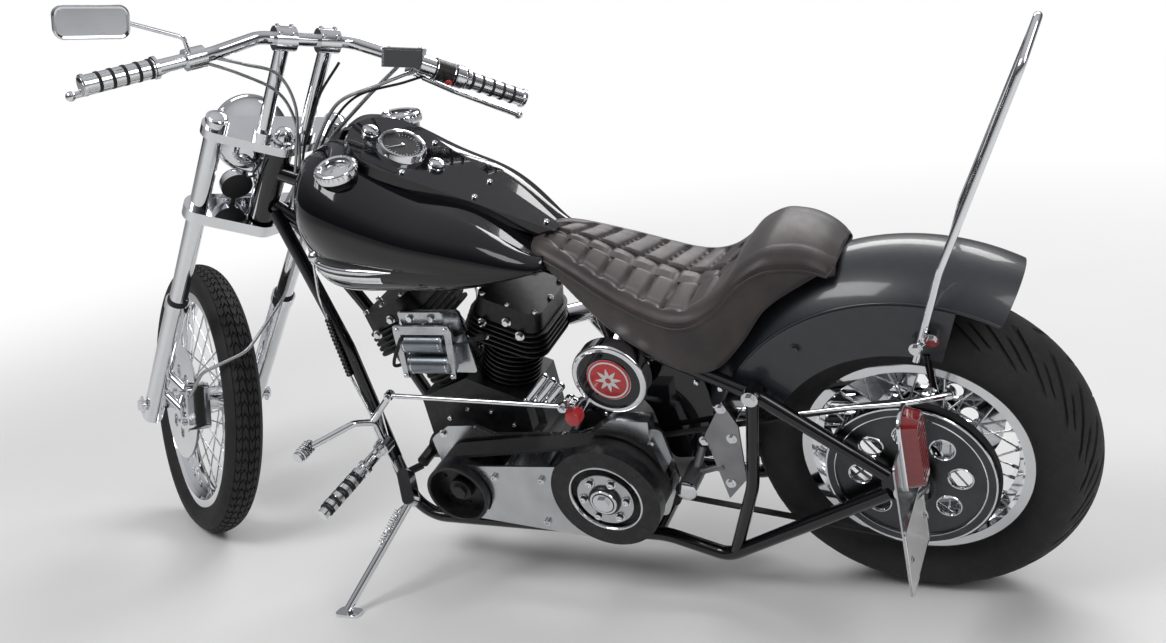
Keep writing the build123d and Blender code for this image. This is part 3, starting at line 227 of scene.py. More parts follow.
def metal(name, dark, light, smooth, rough, grain, relief, stretch=(1, 1, 1)):
    """Bare metal with a grain, from its darkest to its lightest colour."""
    made = Finish(name, Metallic=1.0)
    fine = made.noise(grain, 5, 0.6, stretch)
    broad = made.noise(18, 3)
    made.feed("Base Color", made.between(broad, dark, light))
    made.feed("Roughness", made.between(fine, smooth, rough))
    made.relief(fine, relief, 0.0006)
    return made


def rubbery(name, dark, light, smooth, rough, grain, relief):
    """Rubber or plastic: dull, with a fine grain and dusty patches."""
    made = Finish(name, Specular_IOR_Level=0.28)
    dust = made.noise(25, 5, 0.6)
    made.feed("Base Color", made.between(dust, dark, light))
    made.feed("Roughness", made.between(made.noise(130, 4), smooth, rough))
    made.relief(made.noise(grain, 4), relief, 0.0005)
    return made


def hide(name, dark, light):
    """Dark brown leather with a pebbled grain, worn lighter in patches."""
    made = Finish(name, Specular_IOR_Level=0.45, Sheen_Weight=0.15, Sheen_Roughness=0.5)
    worn = made.ramp(made.noise(11, 5, 0.6), (0.35, dark), (0.72, light))
    made.feed("Base Color", worn)
    grain = made.cells(480) * 0.7 + made.noise(900, 3) * 0.4
    made.feed("Roughness", made.between(made.noise(40, 4), 0.34, 0.55))
    made.relief(grain, 0.22, 0.0007)
    return made


def engine_enamel(name):
    """Satin black enamel over cast fins, with dull and bare-worn places."""
    made = Finish(name, Specular_IOR_Level=0.3, Coat_Weight=0.2, Coat_Roughness=0.25)
    worn = made.noise(55, 6, 0.65)
    made.feed("Base Color", made.ramp(worn, (0.45, (0.005, 0.005, 0.006)), (0.9, (0.03, 0.03, 0.033))))
    made.feed("Roughness", made.between(made.noise(160, 4), 0.28, 0.5))
    made.relief(made.noise(700, 4), 0.25, 0.0006)
    return made


def braided(name):
    """Steel braid: crossed strands round a hose."""
    made = Finish(name, Metallic=0.9)
    strands = made.cells(900)
    made.feed("Base Color", made.between(strands, (0.12, 0.12, 0.13), (0.62, 0.63, 0.65)))
    made.feed("Roughness", made.between(made.noise(200, 3), 0.25, 0.45))
    made.relief(strands, 0.5, 0.0006)
    return made


def red_glass(name):
    """A red lamp lens, moulded in fine ribs."""
    made = Finish(name, Coat_Weight=1.0, Coat_Roughness=0.04, Transmission_Weight=0.35, IOR=1.49)
    wave = {"Vector": made.place, "Scale": 45, "Distortion": 0}
    ribs = made.node("ShaderNodeTexWave", {"bands_direction": "Z"}, wave, "Fac")
    made.feed("Base Color", made.between(made.noise(60, 3), (0.22, 0.003, 0.006), (0.34, 0.008, 0.012)))
    made.feed("Roughness", made.between(made.noise(90, 3), 0.08, 0.2))
    made.relief(ribs, 0.25, 0.001)
    return made


def silvered_glass(name, tint):
    """Mirror or lamp glass with faint smears."""
    made = Finish(name, Metallic=0.85, Coat_Weight=1.0, Coat_Roughness=0.02)
    smear = made.noise(30, 4)
    made.feed("Base Color", made.between(smear, tuple(0.8 * c for c in tint), tint))
    made.feed("Roughness", made.between(smear, 0.02, 0.1))
    return made


def enamel(name, dark, light, rough=0.3):
    """Plain enamel in one colour, slightly uneven."""
    made = Finish(name, Coat_Weight=0.5, Coat_Roughness=0.1)
    made.feed("Base Color", made.between(made.noise(70, 4), dark, light))
    made.feed("Roughness", made.between(made.noise(120, 3), rough, rough + 0.15))
    made.relief(made.noise(500, 2), 0.06, 0.0004)
    return made


FINISHES = {
    "black_paint": gloss_black("black_lacquer", 0.06),
    "frame_paint": gloss_black("frame_lacquer", 0.14),
    "engine_black": engine_enamel("engine_enamel"),
    "chrome": chrome_plate("chrome_plate", (0.80, 0.81, 0.83)),
    "polished": metal("polished_alloy", (0.42, 0.43, 0.44), (0.66, 0.67, 0.69), 0.12, 0.34, 260, 0.15),
    "cast": metal("cast_alloy", (0.20, 0.20, 0.21), (0.40, 0.40, 0.41), 0.35, 0.6, 520, 0.6),
    "steel": metal("pulley_black", (0.045, 0.047, 0.05), (0.10, 0.102, 0.105), 0.2, 0.4, 300, 0.2,
                   stretch=(1, 1, 6)),
    "tyre": rubbery("tyre_rubber", (0.009, 0.009, 0.010), (0.030, 0.029, 0.028), 0.55, 0.85, 600, 0.3),
    "rubber": rubbery("belt_rubber", (0.012, 0.012, 0.012), (0.03, 0.03, 0.03), 0.5, 0.75, 400, 0.3),
    "dark_plastic": rubbery("dark_plastic", (0.012, 0.012, 0.013), (0.028, 0.028, 0.03), 0.3, 0.5, 800,
                            0.15),
    "seat_leather": hide("seat_leather", (0.018, 0.0125, 0.013), (0.050, 0.035, 0.034)),
    "red_lens": red_glass("lamp_lens"),
    "hose": braided("braided_hose"),
}
CHROME = FINISHES["chrome"]
BLACK = FINISHES["black_paint"]
POLISHED = FINISHES["polished"]
RUBBER = FINISHES["rubber"]
PLASTIC = FINISHES["dark_plastic"]
LEATHER = FINISHES["seat_leather"]
RED_ENAMEL = enamel("red_enamel", (0.40, 0.012, 0.016), (0.52, 0.022, 0.026))
PALE_ENAMEL = enamel("pale_enamel", (0.55, 0.55, 0.54), (0.66, 0.66, 0.65))
FENDER_SATIN = enamel("fender_satin", (0.008, 0.009, 0.012), (0.018, 0.020, 0.026), 0.34)
COIL_STEEL = metal("coil_steel", (0.20, 0.225, 0.25), (0.30, 0.33, 0.36), 0.24, 0.38, 90, 0.06)
MIRROR_GLASS = silvered_glass("mirror_glass", (0.72, 0.74, 0.76))
LAMP_GLASS = silvered_glass("lamp_glass", (0.60, 0.62, 0.64))


def refinish(node, *finishes):
    """Gives a CAD part these finishes, in place of any that it has."""
    materials = nodes[node].data.materials
    materials.clear()
    for made in finishes:
        materials.append(made.material)


for row in record["subparts"]:
    refinish(row["node"], FINISHES[row["material_slot"]])


# Places and lines. The side plane's X runs ahead, its Y up and its Z to the right.
SIDE_PLANE = Matrix.Rotation(pi / 2, 4, "X")


def aim(place, direction):
    """A frame at a place whose Z runs along a direction."""
    z = Vector(direction).normalized()
    side = UP.cross(z)
    if side.length < 1e-4:
        side = Vector(FORWARD).cross(z)
    x = side.normalized()
    return Matrix.Translation(Vector(place)) @ Matrix((x, z.cross(x), z)).transposed().to_4x4()


def plane_at(place, along, outward):
    """A frame at a place whose Z runs outward, and whose X runs as near along as it can."""
    z = Vector(outward).normalized()
    x = Vector(along)
    x = (x - z * z.dot(x)).normalized()
    return Matrix.Translation(place) @ Matrix((x, z.cross(x), z)).transposed().to_4x4()


def on_side(place, hand):
    """A frame facing out at a place given on the left side, or at the same place on the right for -1."""
    x, y, z = place
    return aim((x, hand * y, z), (0, hand, 0))


def around(at, radius, count, height=0.0, first=0.0):
    """Frames spread evenly on a circle about a frame's Z, from a first turn in degrees."""
    for n in range(count):
        turn = radians(first + 360 * n / count)
        yield at @ Matrix.Translation((radius * cos(turn), radius * sin(turn), height))


def raised(at, height):
    """The frame that stands that much higher along a frame's Z."""
    return at @ Matrix.Translation((0, 0, height))


def arc(a, b, c, count):
    """Points along the arc from a over b to c in a plane."""
    (ax, ay), (bx, by), (cx, cy) = a, b, c
    d = 2 * (ax * (by - cy) + bx * (cy - ay) + cx * (ay - by))
    sa, sb, sc = ax * ax + ay * ay, bx * bx + by * by, cx * cx + cy * cy
    x = (sa * (by - cy) + sb * (cy - ay) + sc * (ay - by)) / d
    y = (sa * (cx - bx) + sb * (ax - cx) + sc * (bx - ax)) / d
    first, last = atan2(ay - y, ax - x), atan2(cy - y, cx - x)
    middle = atan2(by - y, bx - x)
    turn = (last - first) % (2 * pi)
    if (middle - first) % (2 * pi) > turn:
        turn -= 2 * pi
    radius = hypot(ax - x, ay - y)
    steps = [first + turn * n / count for n in range(count + 1)]
    return [(x + radius * cos(t), y + radius * sin(t)) for t in steps]


def rounded(half_x, half_y, radius, steps=6):
    """A rounded rectangle about the origin."""
    corners = ((1, 1, 0), (-1, 1, 1), (-1, -1, 2), (1, -1, 3))
    line = []
    for way_x, way_y, quarter in corners:
        x, y = way_x * (half_x - radius), way_y * (half_y - radius)
        for n in range(steps + 1):
            turn = pi / 2 * (quarter + n / steps)
            line.append((x + radius * cos(turn), y + radius * sin(turn)))
    return line


def rounded_rows(half_x, half_y, radius, profile, shift=0):
    """Rounded rectangles, each grown and raised by a row of the profile, and all moved along Y."""
    rows = []
    for grow, height in profile:
        outline = rounded(half_x + grow, half_y + grow, radius + grow)
        rows.append([(x, y + shift, height) for x, y in outline])
    return rows


def curve_through(points, steps=8):
    """A smooth line through given points."""
    points = [Vector(point) for point in points]
    padded = [2 * points[0] - points[1], *points, 2 * points[-1] - points[-2]]
    line = []
    for p0, p1, p2, p3 in zip(padded, padded[1:], padded[2:], padded[3:]):
        for n in range(steps):
            t = n / steps
            line.append(
                0.5 * (2 * p1 + (p2 - p0) * t + (2 * p0 - 5 * p1 + 4 * p2 - p3) * t**2
                       + (3 * p1 - p0 - 3 * p2 + p3) * t**3)
            )
    return [*line, points[-1]]


def eased(table, x):
    """The value at x of a table of (place, value) rows, eased between them."""
    places = [row[0] for row in table]
    n = min(max(bisect.bisect_right(places, x) - 1, 0), len(table) - 2)
    (x0, v0), (x1, v1) = table[n], table[n + 1]
    before = table[max(n - 1, 0)]
    after = table[min(n + 2, len(table) - 1)]
    t = min(max((x - x0) / (x1 - x0), 0), 1)
    slope0 = (v1 - before[1]) / max(x1 - before[0], 1e-6) * (x1 - x0)
    slope1 = (after[1] - v0) / max(after[0] - x0, 1e-6) * (x1 - x0)
    if n == 0:
        slope0 = v1 - v0
    if n == len(table) - 2:
        slope1 = v1 - v0
    return (
        (2 * t**3 - 3 * t**2 + 1) * v0 + (t**3 - 2 * t**2 + t) * slope0
        + (3 * t**2 - 2 * t**3) * v1 + (t**3 - t**2) * slope1
    )


def smooth(start, end, value):
    """Eases from 0 at the start to 1 at the end, which may be the lower of the two."""
    share = min(max((value - start) / (end - start), 0), 1)
    return share * share * (3 - 2 * share)


# Mesh building
class Shape:
    """A mesh under construction, in the coordinates of one frame."""

    def __init__(self):
        self.mesh = bmesh.new()
        self.finish = 0

    def skin(self, rows, round_rows=False, round_row=False, ends=False, at=Matrix.Identity(4)):
        """Joins rows of points into a surface, closed round either way, with flat ends if asked."""
        grid = [[self.mesh.verts.new(at @ Vector(point)) for point in row] for row in rows]
        lines = [*grid, grid[0]] if round_rows else grid
        for near, far in zip(lines, lines[1:]):
            count = len(near)
            for n in range(count if round_row else count - 1):
                following = (n + 1) % count
                self.face(near[n], near[following], far[following], far[n])
        if ends:
            self.face(*reversed(grid[0]))
            self.face(*grid[-1])

    def face(self, *corners):
        """Adds one face."""
        made = self.mesh.faces.new(corners)
        made.material_index = self.finish
        made.smooth = True

    def lathe(self, profile, at=Matrix.Identity(4), steps=48, closed=False):
        """Turns a profile of (radius, height) points about Z."""
        turns = [2 * pi * n / steps for n in range(steps)]
        rows = [[(r * cos(t), r * sin(t), z) for r, z in profile] for t in turns]
        self.skin(rows, round_rows=True, round_row=closed, at=at)

    def dome(self, profile, at=Matrix.Identity(4), steps=32):
        """A turned solid whose profile starts and ends on its axis."""
        pin_hole = 0.02
        self.lathe([(max(r, pin_hole), z) for r, z in profile], at, steps)

    def pipe(self, path, radius, sides=12):
        """A round tube along a line. Its radius is a number, or a function of the share along."""
        path = [Vector(point) for point in path]
        width = radius if callable(radius) else lambda share: radius
        x = Vector((0.3, 0.5, 1)).cross(path[1] - path[0]).normalized()
        turns = [2 * pi * k / sides for k in range(sides)]
        rows = []
        for n, point in enumerate(path):
            ahead = (path[min(n + 1, len(path) - 1)] - path[max(n - 1, 0)]).normalized()
            x = (x - ahead * x.dot(ahead)).normalized()
            y = ahead.cross(x)
            r = width(n / (len(path) - 1))
            rows.append([point + r * (cos(t) * x + sin(t) * y) for t in turns])
        self.skin(rows, round_row=True, ends=True)

    def plate(self, outline, low, high, at=Matrix.Identity(4)):
        """A flat plate from its outline in XY."""
        rows = [[(x, y, z) for x, y in outline] for z in (low, high)]
        self.skin(rows, round_row=True, ends=True, at=at)

    def hex_bolt(self, radius, height, at):
        """A bolt's six-sided head on a washer, its threaded end not shown."""
        washer, thick = 1.45 * radius, 0.2 * radius
        self.dome([(0, 0), (washer, 0), (washer, thick), (0, thick)], at, 24)
        hexagon = [(radius * cos(n * pi / 3), radius * sin(n * pi / 3)) for n in range(6)]
        self.plate(hexagon, 0.5 * thick, height, at)

    def cap_screw(self, radius, height, at):
        """A round screw head with a hexagon socket."""
        rim, socket, floor = 0.85 * radius, 0.55 * radius, 0.45 * height
        profile = [(0, 0), (radius, 0), (radius, 0.8 * height), (rim, height), (socket, height),
                   (0.5 * radius, floor), (0, floor)]
        self.dome(profile, at, 20)


def piece(name, shape, body, finishes, sharp=38, bevel=0.0, replaces=()):
    """Makes a finished object that rides on a body, its edges crisp over a sharp angle in degrees."""
    mesh = bpy.data.meshes.new(name)
    bmesh.ops.recalc_face_normals(shape.mesh, faces=shape.mesh.faces)
    shape.mesh.to_mesh(mesh)
    shape.mesh.free()
    mesh.transform(BODY_FRAMES[body])
    obj = bpy.data.objects.new(name, mesh)
    bpy.context.scene.collection.objects.link(obj)
    for made in finishes:
        mesh.materials.append(made.material)
    mesh.set_sharp_from_angle(angle=radians(sharp))
    if bevel:
        edge = obj.modifiers.new("edge", "BEVEL")
        edge.width = bevel * MILLIMETRE
        edge.segments = 2
        edge.limit_method = "ANGLE"
    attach(obj, body)
    if replaces:
        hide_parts(*replaces)
    return obj


# Fittings are seated on the surfaces of the CAD parts, met from well outside the machine
WELL_OUT = 400


def surface_of(node):
    """The surface of a part on the chassis, in the upright bike's coordinates."""
    mesh = nodes[node].data
    inward = BIKE.inverted()
    return BVHTree.FromPolygons([inward @ v.co for v in mesh.vertices], [p.vertices for p in mesh.polygons])


def met(surface, start, direction):
    """Where a line from a start first meets a surface, and the surface's direction back toward it."""
    place, normal, _, _ = surface.ray_cast(Vector(start), Vector(direction).normalized())
    return place, -normal if normal.dot(Vector(direction)) > 0 else normal


def facing(surface, start, outward, sink=0.5):
    """The frame facing outward where a line coming in from a start meets a surface."""
    outward = Vector(outward)
    place, _ = met(surface, start, -outward)
    return aim(place - sink * outward, outward)


def facing_side(surface, x, z, hand):
    """The frame facing out to one side on a surface, at a place seen from that side."""
    return facing(surface, (x, hand * WELL_OUT, z), (0, hand, 0))


# Front tyre: a carcass with rows of skewed blocks standing on it
FRONT_RADIUS, FRONT_CROWN, FRONT_WIDTH, FRONT_BEAD, FRONT_BEAD_WIDTH = 345, 47, 88, 268, 62
SHOULDER = radians(38)
BEAD_RISE = 8
TREAD_DEPTH = 5
BLOCKS_ROUND = 76
BLOCK_PITCH = 2 * pi / BLOCKS_ROUND
BLOCK_GAP, BLOCK_LENGTH = 0.1, 0.74
# Rows of blocks: first and last place across the crown in degrees, skew, and shift by half a block
BLOCK_ROWS = (
    (-36, -21, 0.35, 0),
    (-18, -2, -0.45, 0.5),
    (2, 18, 0.45, 0),
    (21, 36, -0.35, 0.5),
)
# A block's six corners: the share across its row, and the shares along its length there
BLOCK_CORNERS = ((0, (0, 1)), (0.5, (1,)), (1, (1, 0)), (0.5, (0,)))


def tyre_section(radius, crown, width, bead_radius, bead_width, tread):
    """A tyre's outside from one bead to the other, its crown lowered by the tread's depth."""
    shoulder = (radius - crown + crown * cos(SHOULDER), crown * sin(SHOULDER))
    wall = ((shoulder[0] + bead_radius) / 2, width / 2)
    side = arc((bead_radius + BEAD_RISE, bead_width / 2), wall, shoulder, 14)
    edge = (shoulder[0] - tread / 2, shoulder[1] - 1)
    over = arc(edge, (radius - tread, 0), (edge[0], -edge[1]), 24)
    return [*side, *over, *[(r, -y) for r, y in reversed(side)]]


def wheel_point(turn, radius, across):
    """A place on a wheel, by its turn about the axle."""
    return (radius * cos(turn), radius * sin(turn), across)


def block_layer(start, first, last, skew, depth):
    """The outline of a tread block at a depth below the crown."""
    layer = []
    for across, lengths in BLOCK_CORNERS:
        lean = radians(first + (last - first) * across)
        r = FRONT_RADIUS - FRONT_CROWN + (FRONT_CROWN - depth) * cos(lean)
        zigzag = skew * (1 - abs(2 * across - 1)) + 0.25 * skew * across
        for length in lengths:
            turn = start + BLOCK_PITCH * (BLOCK_GAP + BLOCK_LENGTH * length + zigzag)
            layer.append(wheel_point(turn, r, (FRONT_CROWN - depth) * sin(lean)))
    return layer


def front_tyre_tread():
    """The front tyre's carcass and its four rows of blocks."""
    tyre = Shape()
    section = tyre_section(FRONT_RADIUS, FRONT_CROWN, FRONT_WIDTH, FRONT_BEAD, FRONT_BEAD_WIDTH, TREAD_DEPTH)
    tyre.lathe(section, steps=180)
    for first, last, skew, shift in BLOCK_ROWS:
        for n in range(BLOCKS_ROUND):
            start = (n + shift) * BLOCK_PITCH
            layers = [block_layer(start, first, last, skew, depth) for depth in (TREAD_DEPTH + 1, 0.2)]
            tyre.skin(layers, round_row=True, ends=True)
    piece("front_tyre_tread", tyre, "front_wheel", [FINISHES["tyre"]], 34, replaces=["front_tyre"])


# Rear tyre: wide and smooth, with swept grooves in its shoulders. Its rows of points follow the grooves.
REAR_CROWN, REAR_WIDTH, REAR_BEAD, REAR_BEAD_WIDTH = 105, 184, 206, 126
GROOVES_ROUND = 26
STEPS_A_GROOVE = 28
GROOVE_DEPTH = 4.5
GROOVE_SWEEP = 1.5
TREAD_HALF, TREAD_FOOT = 80, 262
WALL_SHARE = 1.1
# Long and short grooves take turns: how each one's cut eases in from its side, from its inner end
# and from its outer end, the last two as shares of the way out to the shoulder
LONG_GROOVE = ((0.105, 0.075), (0.15, 0.22), (1.04, 0.94))
SHORT_GROOVE = ((0.08, 0.05), (0.5, 0.57), (0.92, 0.85))


def cut(groove, phase, share):
    """How fully a groove is cut at a place, from 0 to 1."""
    side, inner_end, outer_end = groove
    off = abs(phase % 1 - 0.5)
    return smooth(*side, off) * smooth(*inner_end, share) * smooth(*outer_end, share)


def groove_depth(phase, share):
    """How deep the tread is cut, by the place between two grooves and the share out to the shoulder."""
    return GROOVE_DEPTH * max(cut(LONG_GROOVE, phase, share), cut(SHORT_GROOVE, phase + 0.5, share))


def rear_section():
    """The rear tyre's outside, with its points closer together over the tread."""
    section = tyre_section(REAR_RADIUS, REAR_CROWN, REAR_WIDTH, REAR_BEAD, REAR_BEAD_WIDTH, 0)
    fine = []
    for (r0, y0), (r1, y1) in zip(section, section[1:]):
        parts = 2 if min(r0, r1) > TREAD_FOOT else 1
        fine += [(r0 + (r1 - r0) * n / parts, y0 + (y1 - y0) * n / parts) for n in range(parts)]
    return [*fine, section[-1]]


def rear_tyre_tread():
    """The rear tyre, its grooves pressed in toward the middle of its crown's curve."""
    core = REAR_RADIUS - REAR_CROWN
    section = rear_section()
    rows = []
    for n in range(GROOVES_ROUND * STEPS_A_GROOVE):
        phase = n / STEPS_A_GROOVE
        row = []
        for r, y in section:
            share = abs(y) / TREAD_HALF if r > TREAD_FOOT else WALL_SHARE
            sweep = GROOVE_SWEEP * min(share, WALL_SHARE) ** 1.6
            turn = (phase - sweep) * 2 * pi / GROOVES_ROUND
            depth = groove_depth(phase + (0.5 if y > 0 else 0), share) if r > TREAD_FOOT else 0
            ratio = 1 - depth / max(hypot(r - core, y), 1)
            row.append(wheel_point(turn, core + (r - core) * ratio, y * ratio))
        rows.append(row)
    tyre = Shape()
    tyre.skin(rows, round_rows=True)
    piece("rear_tyre_tread", tyre, "rear_wheel", [FINISHES["tyre"]], 30, replaces=["rear_tyre"])


# Seat: a smooth cover with a sewn panel of pleats let into its dish. Its top, foot and half width
# are given by places along the bike.
SEAT_TOP = (
    (92, 751), (120, 775), (150, 790), (180, 795), (215, 793), (262, 768), (300, 730), (350, 701),
    (400, 697), (463, 718), (545, 757), (589, 779), (640, 799), (672, 806), (702, 800),
)
SEAT_FOOT = (
    (92, 746), (143, 725), (220, 680), (270, 618), (320, 570), (378, 560), (450, 590), (540, 640),
    (600, 695), (639, 735), (690, 778), (702, 790),
)
SEAT_HALF = (
    (92, 70), (105, 86), (150, 101), (220, 118), (300, 136), (370, 145), (450, 136), (520, 122),
    (600, 97), (660, 77), (690, 60), (702, 36),
)
SEAT_REAR, SEAT_FRONT, SEAT_STEPS = 92.5, 701.5, 210
FENDER_CROWN, FENDER_FRONT, FENDER_GAP = 428, 400, 4
SKIRT_LEAST, PADDING_LEAST = 12, 8
SKIRT_BELLY, SKIRT_TUCK, HEM_Y = 2.5, 9, 119
DISH = 5
ROLL_LARGEST, ROLL_SHARE, ROLL_FLATNESS = 46, 0.45, 0.62
TOP_STEPS, ROLL_STEPS, SKIRT_STEPS = 22, 8, 8
TOP_PARTS, TOP_DEPTH = 3, 24
PLEATED_POINTS = TOP_PARTS * (TOP_STEPS + 3)
# The pleated panel, with shares from its middle line out to its edge. A plain strip runs along its
# middle, with a seam each side, and the pleats slant more on the right.
PANEL_FRONT, PANEL_REAR = 668, 284
PANEL_SHARE, PANEL_EDGE, EDGE_WIDTH, PANEL_SINK = 0.97, 1.04, 0.07, 4.5
PLEATS, PLEAT_DEPTH, PLEAT_RIDGE = 9, 7, 3.2
SLANT_LEFT, SLANT_RIGHT = 0.1, -0.55
STRIP_SHARE, STRIP_SINK, STRIP_PLEAT, STRIP_RIDGE = 0.20, 2, 4.0, 2.5
SEAM_DEPTH, SEAM_WIDTH = 2.5, 0.08
PIPING_FRONT, PIPING_REAR, PIPING_STEPS = 694, 104, 120


def roll_width(half):
    """How wide the seat's rounded edge is, by the seat's half width."""
    return min(ROLL_LARGEST, ROLL_SHARE * half)


def roll_foot(half, top):
    """The height where the seat's rounded edge meets its skirt."""
    return top - DISH - ROLL_FLATNESS * roll_width(half)


def seat_section(x):
    """Half of the seat's section at x: over its top, down its skirt, and back below."""
    half, top = eased(SEAT_HALF, x), eased(SEAT_TOP, x)
    foot = min(eased(SEAT_FOOT, x), top - SKIRT_LEAST)
    under = foot
    if x < FENDER_FRONT:
        under = max(foot, REAR_RADIUS + sqrt(max(FENDER_CROWN**2 - x**2, 0)) + FENDER_GAP)
    under = min(under, top - PADDING_LEAST)
    roll, low = roll_width(half), roll_foot(half, top)
    line = []
    for n in range(TOP_STEPS + 1):
        share = n / TOP_STEPS
        line.append(((half - roll) * share, top - DISH * share**2))
    for n in range(1, ROLL_STEPS + 1):
        turn = pi / 2 * (1 - n / ROLL_STEPS)
        line.append((half - roll + roll * cos(turn), low + ROLL_FLATNESS * roll * sin(turn)))
    for n in range(1, SKIRT_STEPS + 1):
        share = n / SKIRT_STEPS
        belly = SKIRT_BELLY * sin(pi * share) - SKIRT_TUCK * share**2
        line.append((half + belly, low - (low - foot) * share))
    inside = min(half - 14, HEM_Y)
    hem = [(half - 13, foot - 1), (inside + 1, foot + 3), (inside, max(under - 4, foot + 4))]
    return [*line, *hem, (inside * 0.9, under), (inside * 0.45, under)]


def pleated(x, y):
    """How far the pleated panel sinks below the cover at a place in plan."""
    half = eased(SEAT_HALF, x)
    along = (PANEL_FRONT - x) / (PANEL_FRONT - PANEL_REAR)
    if not 0 < along < 1:
        return 0
    taper = min(1, 1.9 * min(along + 0.08, 1.06 - along) ** 0.5)
    flat = half - roll_width(half) * 0.55
    share = abs(y) / max(flat * PANEL_SHARE * taper, 1)
    if share > PANEL_EDGE:
        return 0
    edge = min(1, (PANEL_EDGE - share) / EDGE_WIDTH)
    sink = PANEL_SINK * edge
    if share < STRIP_SHARE:
        beat = abs(sin(pi * (along * PLEATS + 0.25)))
        ridge = STRIP_RIDGE * beat * (1 - share / STRIP_SHARE)
        return sink + STRIP_SINK + STRIP_PLEAT * (1 - beat) ** 2 - ridge
    out = share - STRIP_SHARE
    beat = abs(sin(pi * (along * PLEATS + (SLANT_RIGHT if y < 0 else SLANT_LEFT) * out)))
    seam = SEAM_DEPTH * max(0, 1 - out / SEAM_WIDTH)
    return sink + PLEAT_DEPTH * (1 - beat) ** 3 + seam - PLEAT_RIDGE * beat**0.8 * edge


def refined(section):
    """A section of the seat with its points closer together over the top."""
    lowest = section[0][1] - TOP_DEPTH
    fine = []
    for (y0, z0), (y1, z1) in zip(section, section[1:]):
        parts = TOP_PARTS if z0 > lowest and y1 > y0 else 1
        fine += [(y0 + (y1 - y0) * k / parts, z0 + (z1 - z0) * k / parts) for k in range(parts)]
    return [*fine, section[-1]]


def resampled(line, size):
    """A line of points with a given number of them, keeping its ends."""
    if len(line) == size:
        return line
    points = []
    for k in range(size):
        t = k * (len(line) - 1) / (size - 1)
        n = min(int(t), len(line) - 2)
        points.append(tuple(Vector(line[n]).lerp(Vector(line[n + 1]), t - n)))
    return points


def seat_side(x, section, hand):
    """One side of the seat's section at x, with the pleats pressed into its top."""
    line = []
    for k, (y, z) in enumerate(section):
        sink = pleated(x, hand * y) if k < PLEATED_POINTS else 0
        line.append((x, hand * y, z - sink))
    return line


def seat_cover():
    """The leather cover."""
    sides = []
    for n in range(SEAT_STEPS + 1):
        share = n / SEAT_STEPS
        x = SEAT_REAR + (SEAT_FRONT - SEAT_REAR) * (share - 0.045 * sin(2 * pi * share))
        section = refined(seat_section(x))
        sides.append([seat_side(x, section, hand) for hand in HANDS])
    size = min(len(left) for left, _ in sides)
    seat = Shape()
    loops = [[*resampled(left, size), *reversed(resampled(right, size)[1:])] for left, right in sides]
    seat.skin(loops, round_row=True, ends=True)
    cushion = piece("seat_cover", seat, "chassis", [LEATHER], 60, replaces=["seat"])


def seat_piping():
    """Piping along both sides of the cover, where the rounded edge meets the skirt."""
    piping = Shape()
    for hand in HANDS:
        line = []
        for n in range(PIPING_STEPS + 1):
            x = PIPING_FRONT + (PIPING_REAR - PIPING_FRONT) * n / PIPING_STEPS
            half, top = eased(SEAT_HALF, x), eased(SEAT_TOP, x)
            line.append((x, hand * (half + 0.8), roll_foot(half, top)))
        piping.pipe(line, 2.4, 10)
    piece("seat_piping", piping, "chassis", [LEATHER], 60)


# Tank caps, standing level on painted necks
CAP_X, CAP_Y, CAP_Z = 1022, 128, 1008
CAP_RIBS = 28
CAP_PROFILE = (
    (0, -2), (43, -2), (43.5, 3), (42, 8), (42, 13), (40, 16), (35, 17.5), (31, 15.5), (29.5, 9), (27, 8.5),
    (23, 10), (12, 14), (0, 15.5),
)


def tank_caps():
    """A ribbed cap on a neck in each tank."""
    caps = Shape()
    for hand in HANDS:
        cap_at = aim((CAP_X, hand * CAP_Y, CAP_Z), (-0.12, 0.16 * hand, 1))
        caps.finish = 1
        caps.dome([(0, -36), (36, -36), (37, -4), (40, 0), (0, 0)], cap_at, 48)
        caps.finish = 0
        caps.dome(CAP_PROFILE, cap_at, 56)
        for rib in around(cap_at, 42.2, CAP_RIBS, 4):
            caps.dome([(0, 0), (1.6, 0), (1.6, 7), (0, 8.6)], rib, 6)
    piece("tank_caps", caps, "chassis", [CHROME, BLACK], 40)


# Tank badges: a tapered chrome bar along each tank over a blank strip. Ends are (x, z).
BADGE_ENDS = ((1152, 838), (928, 819))
STRIP_ENDS = ((1122, 815), (954, 803))
STRIP_FACE_ENDS = ((1117, 814.6), (959, 803.4))
BADGE_BOSS_X, BADGE_BOSS_Z = 1120, 846


def tank_point(skin, hand, x, z, out):
    """A place above a tank's side, and the direction square to it."""
    place, normal = met(skin, (x, hand * WELL_OUT, z), (0, -hand, 0))
    return place + out * normal, normal


def tank_bar(shape, skin, hand, ends, tall, deep, steps=30, section=4, taper=False):
    """A bar of oval section following a tank's side."""
    (x0, z0), (x1, z1) = ends
    turns = [2 * pi * k / section for k in range(section)]
    rows = []
    for n in range(steps + 1):
        share = n / steps
        place, normal = tank_point(skin, hand, x0 + (x1 - x0) * share, z0 + (z1 - z0) * share, 0.5)
        up = (UP - normal * normal.dot(UP)).normalized()
        size = max(0.08, min(1, 9 * share, 2.6 * (1 - share) ** 0.7)) if taper else 1
        thick = (0.4 + 0.6 * size) * deep
        rows.append([place + size * tall * cos(t) * up + thick * sin(t) * normal for t in turns])
    shape.skin(rows, round_row=True, ends=True)


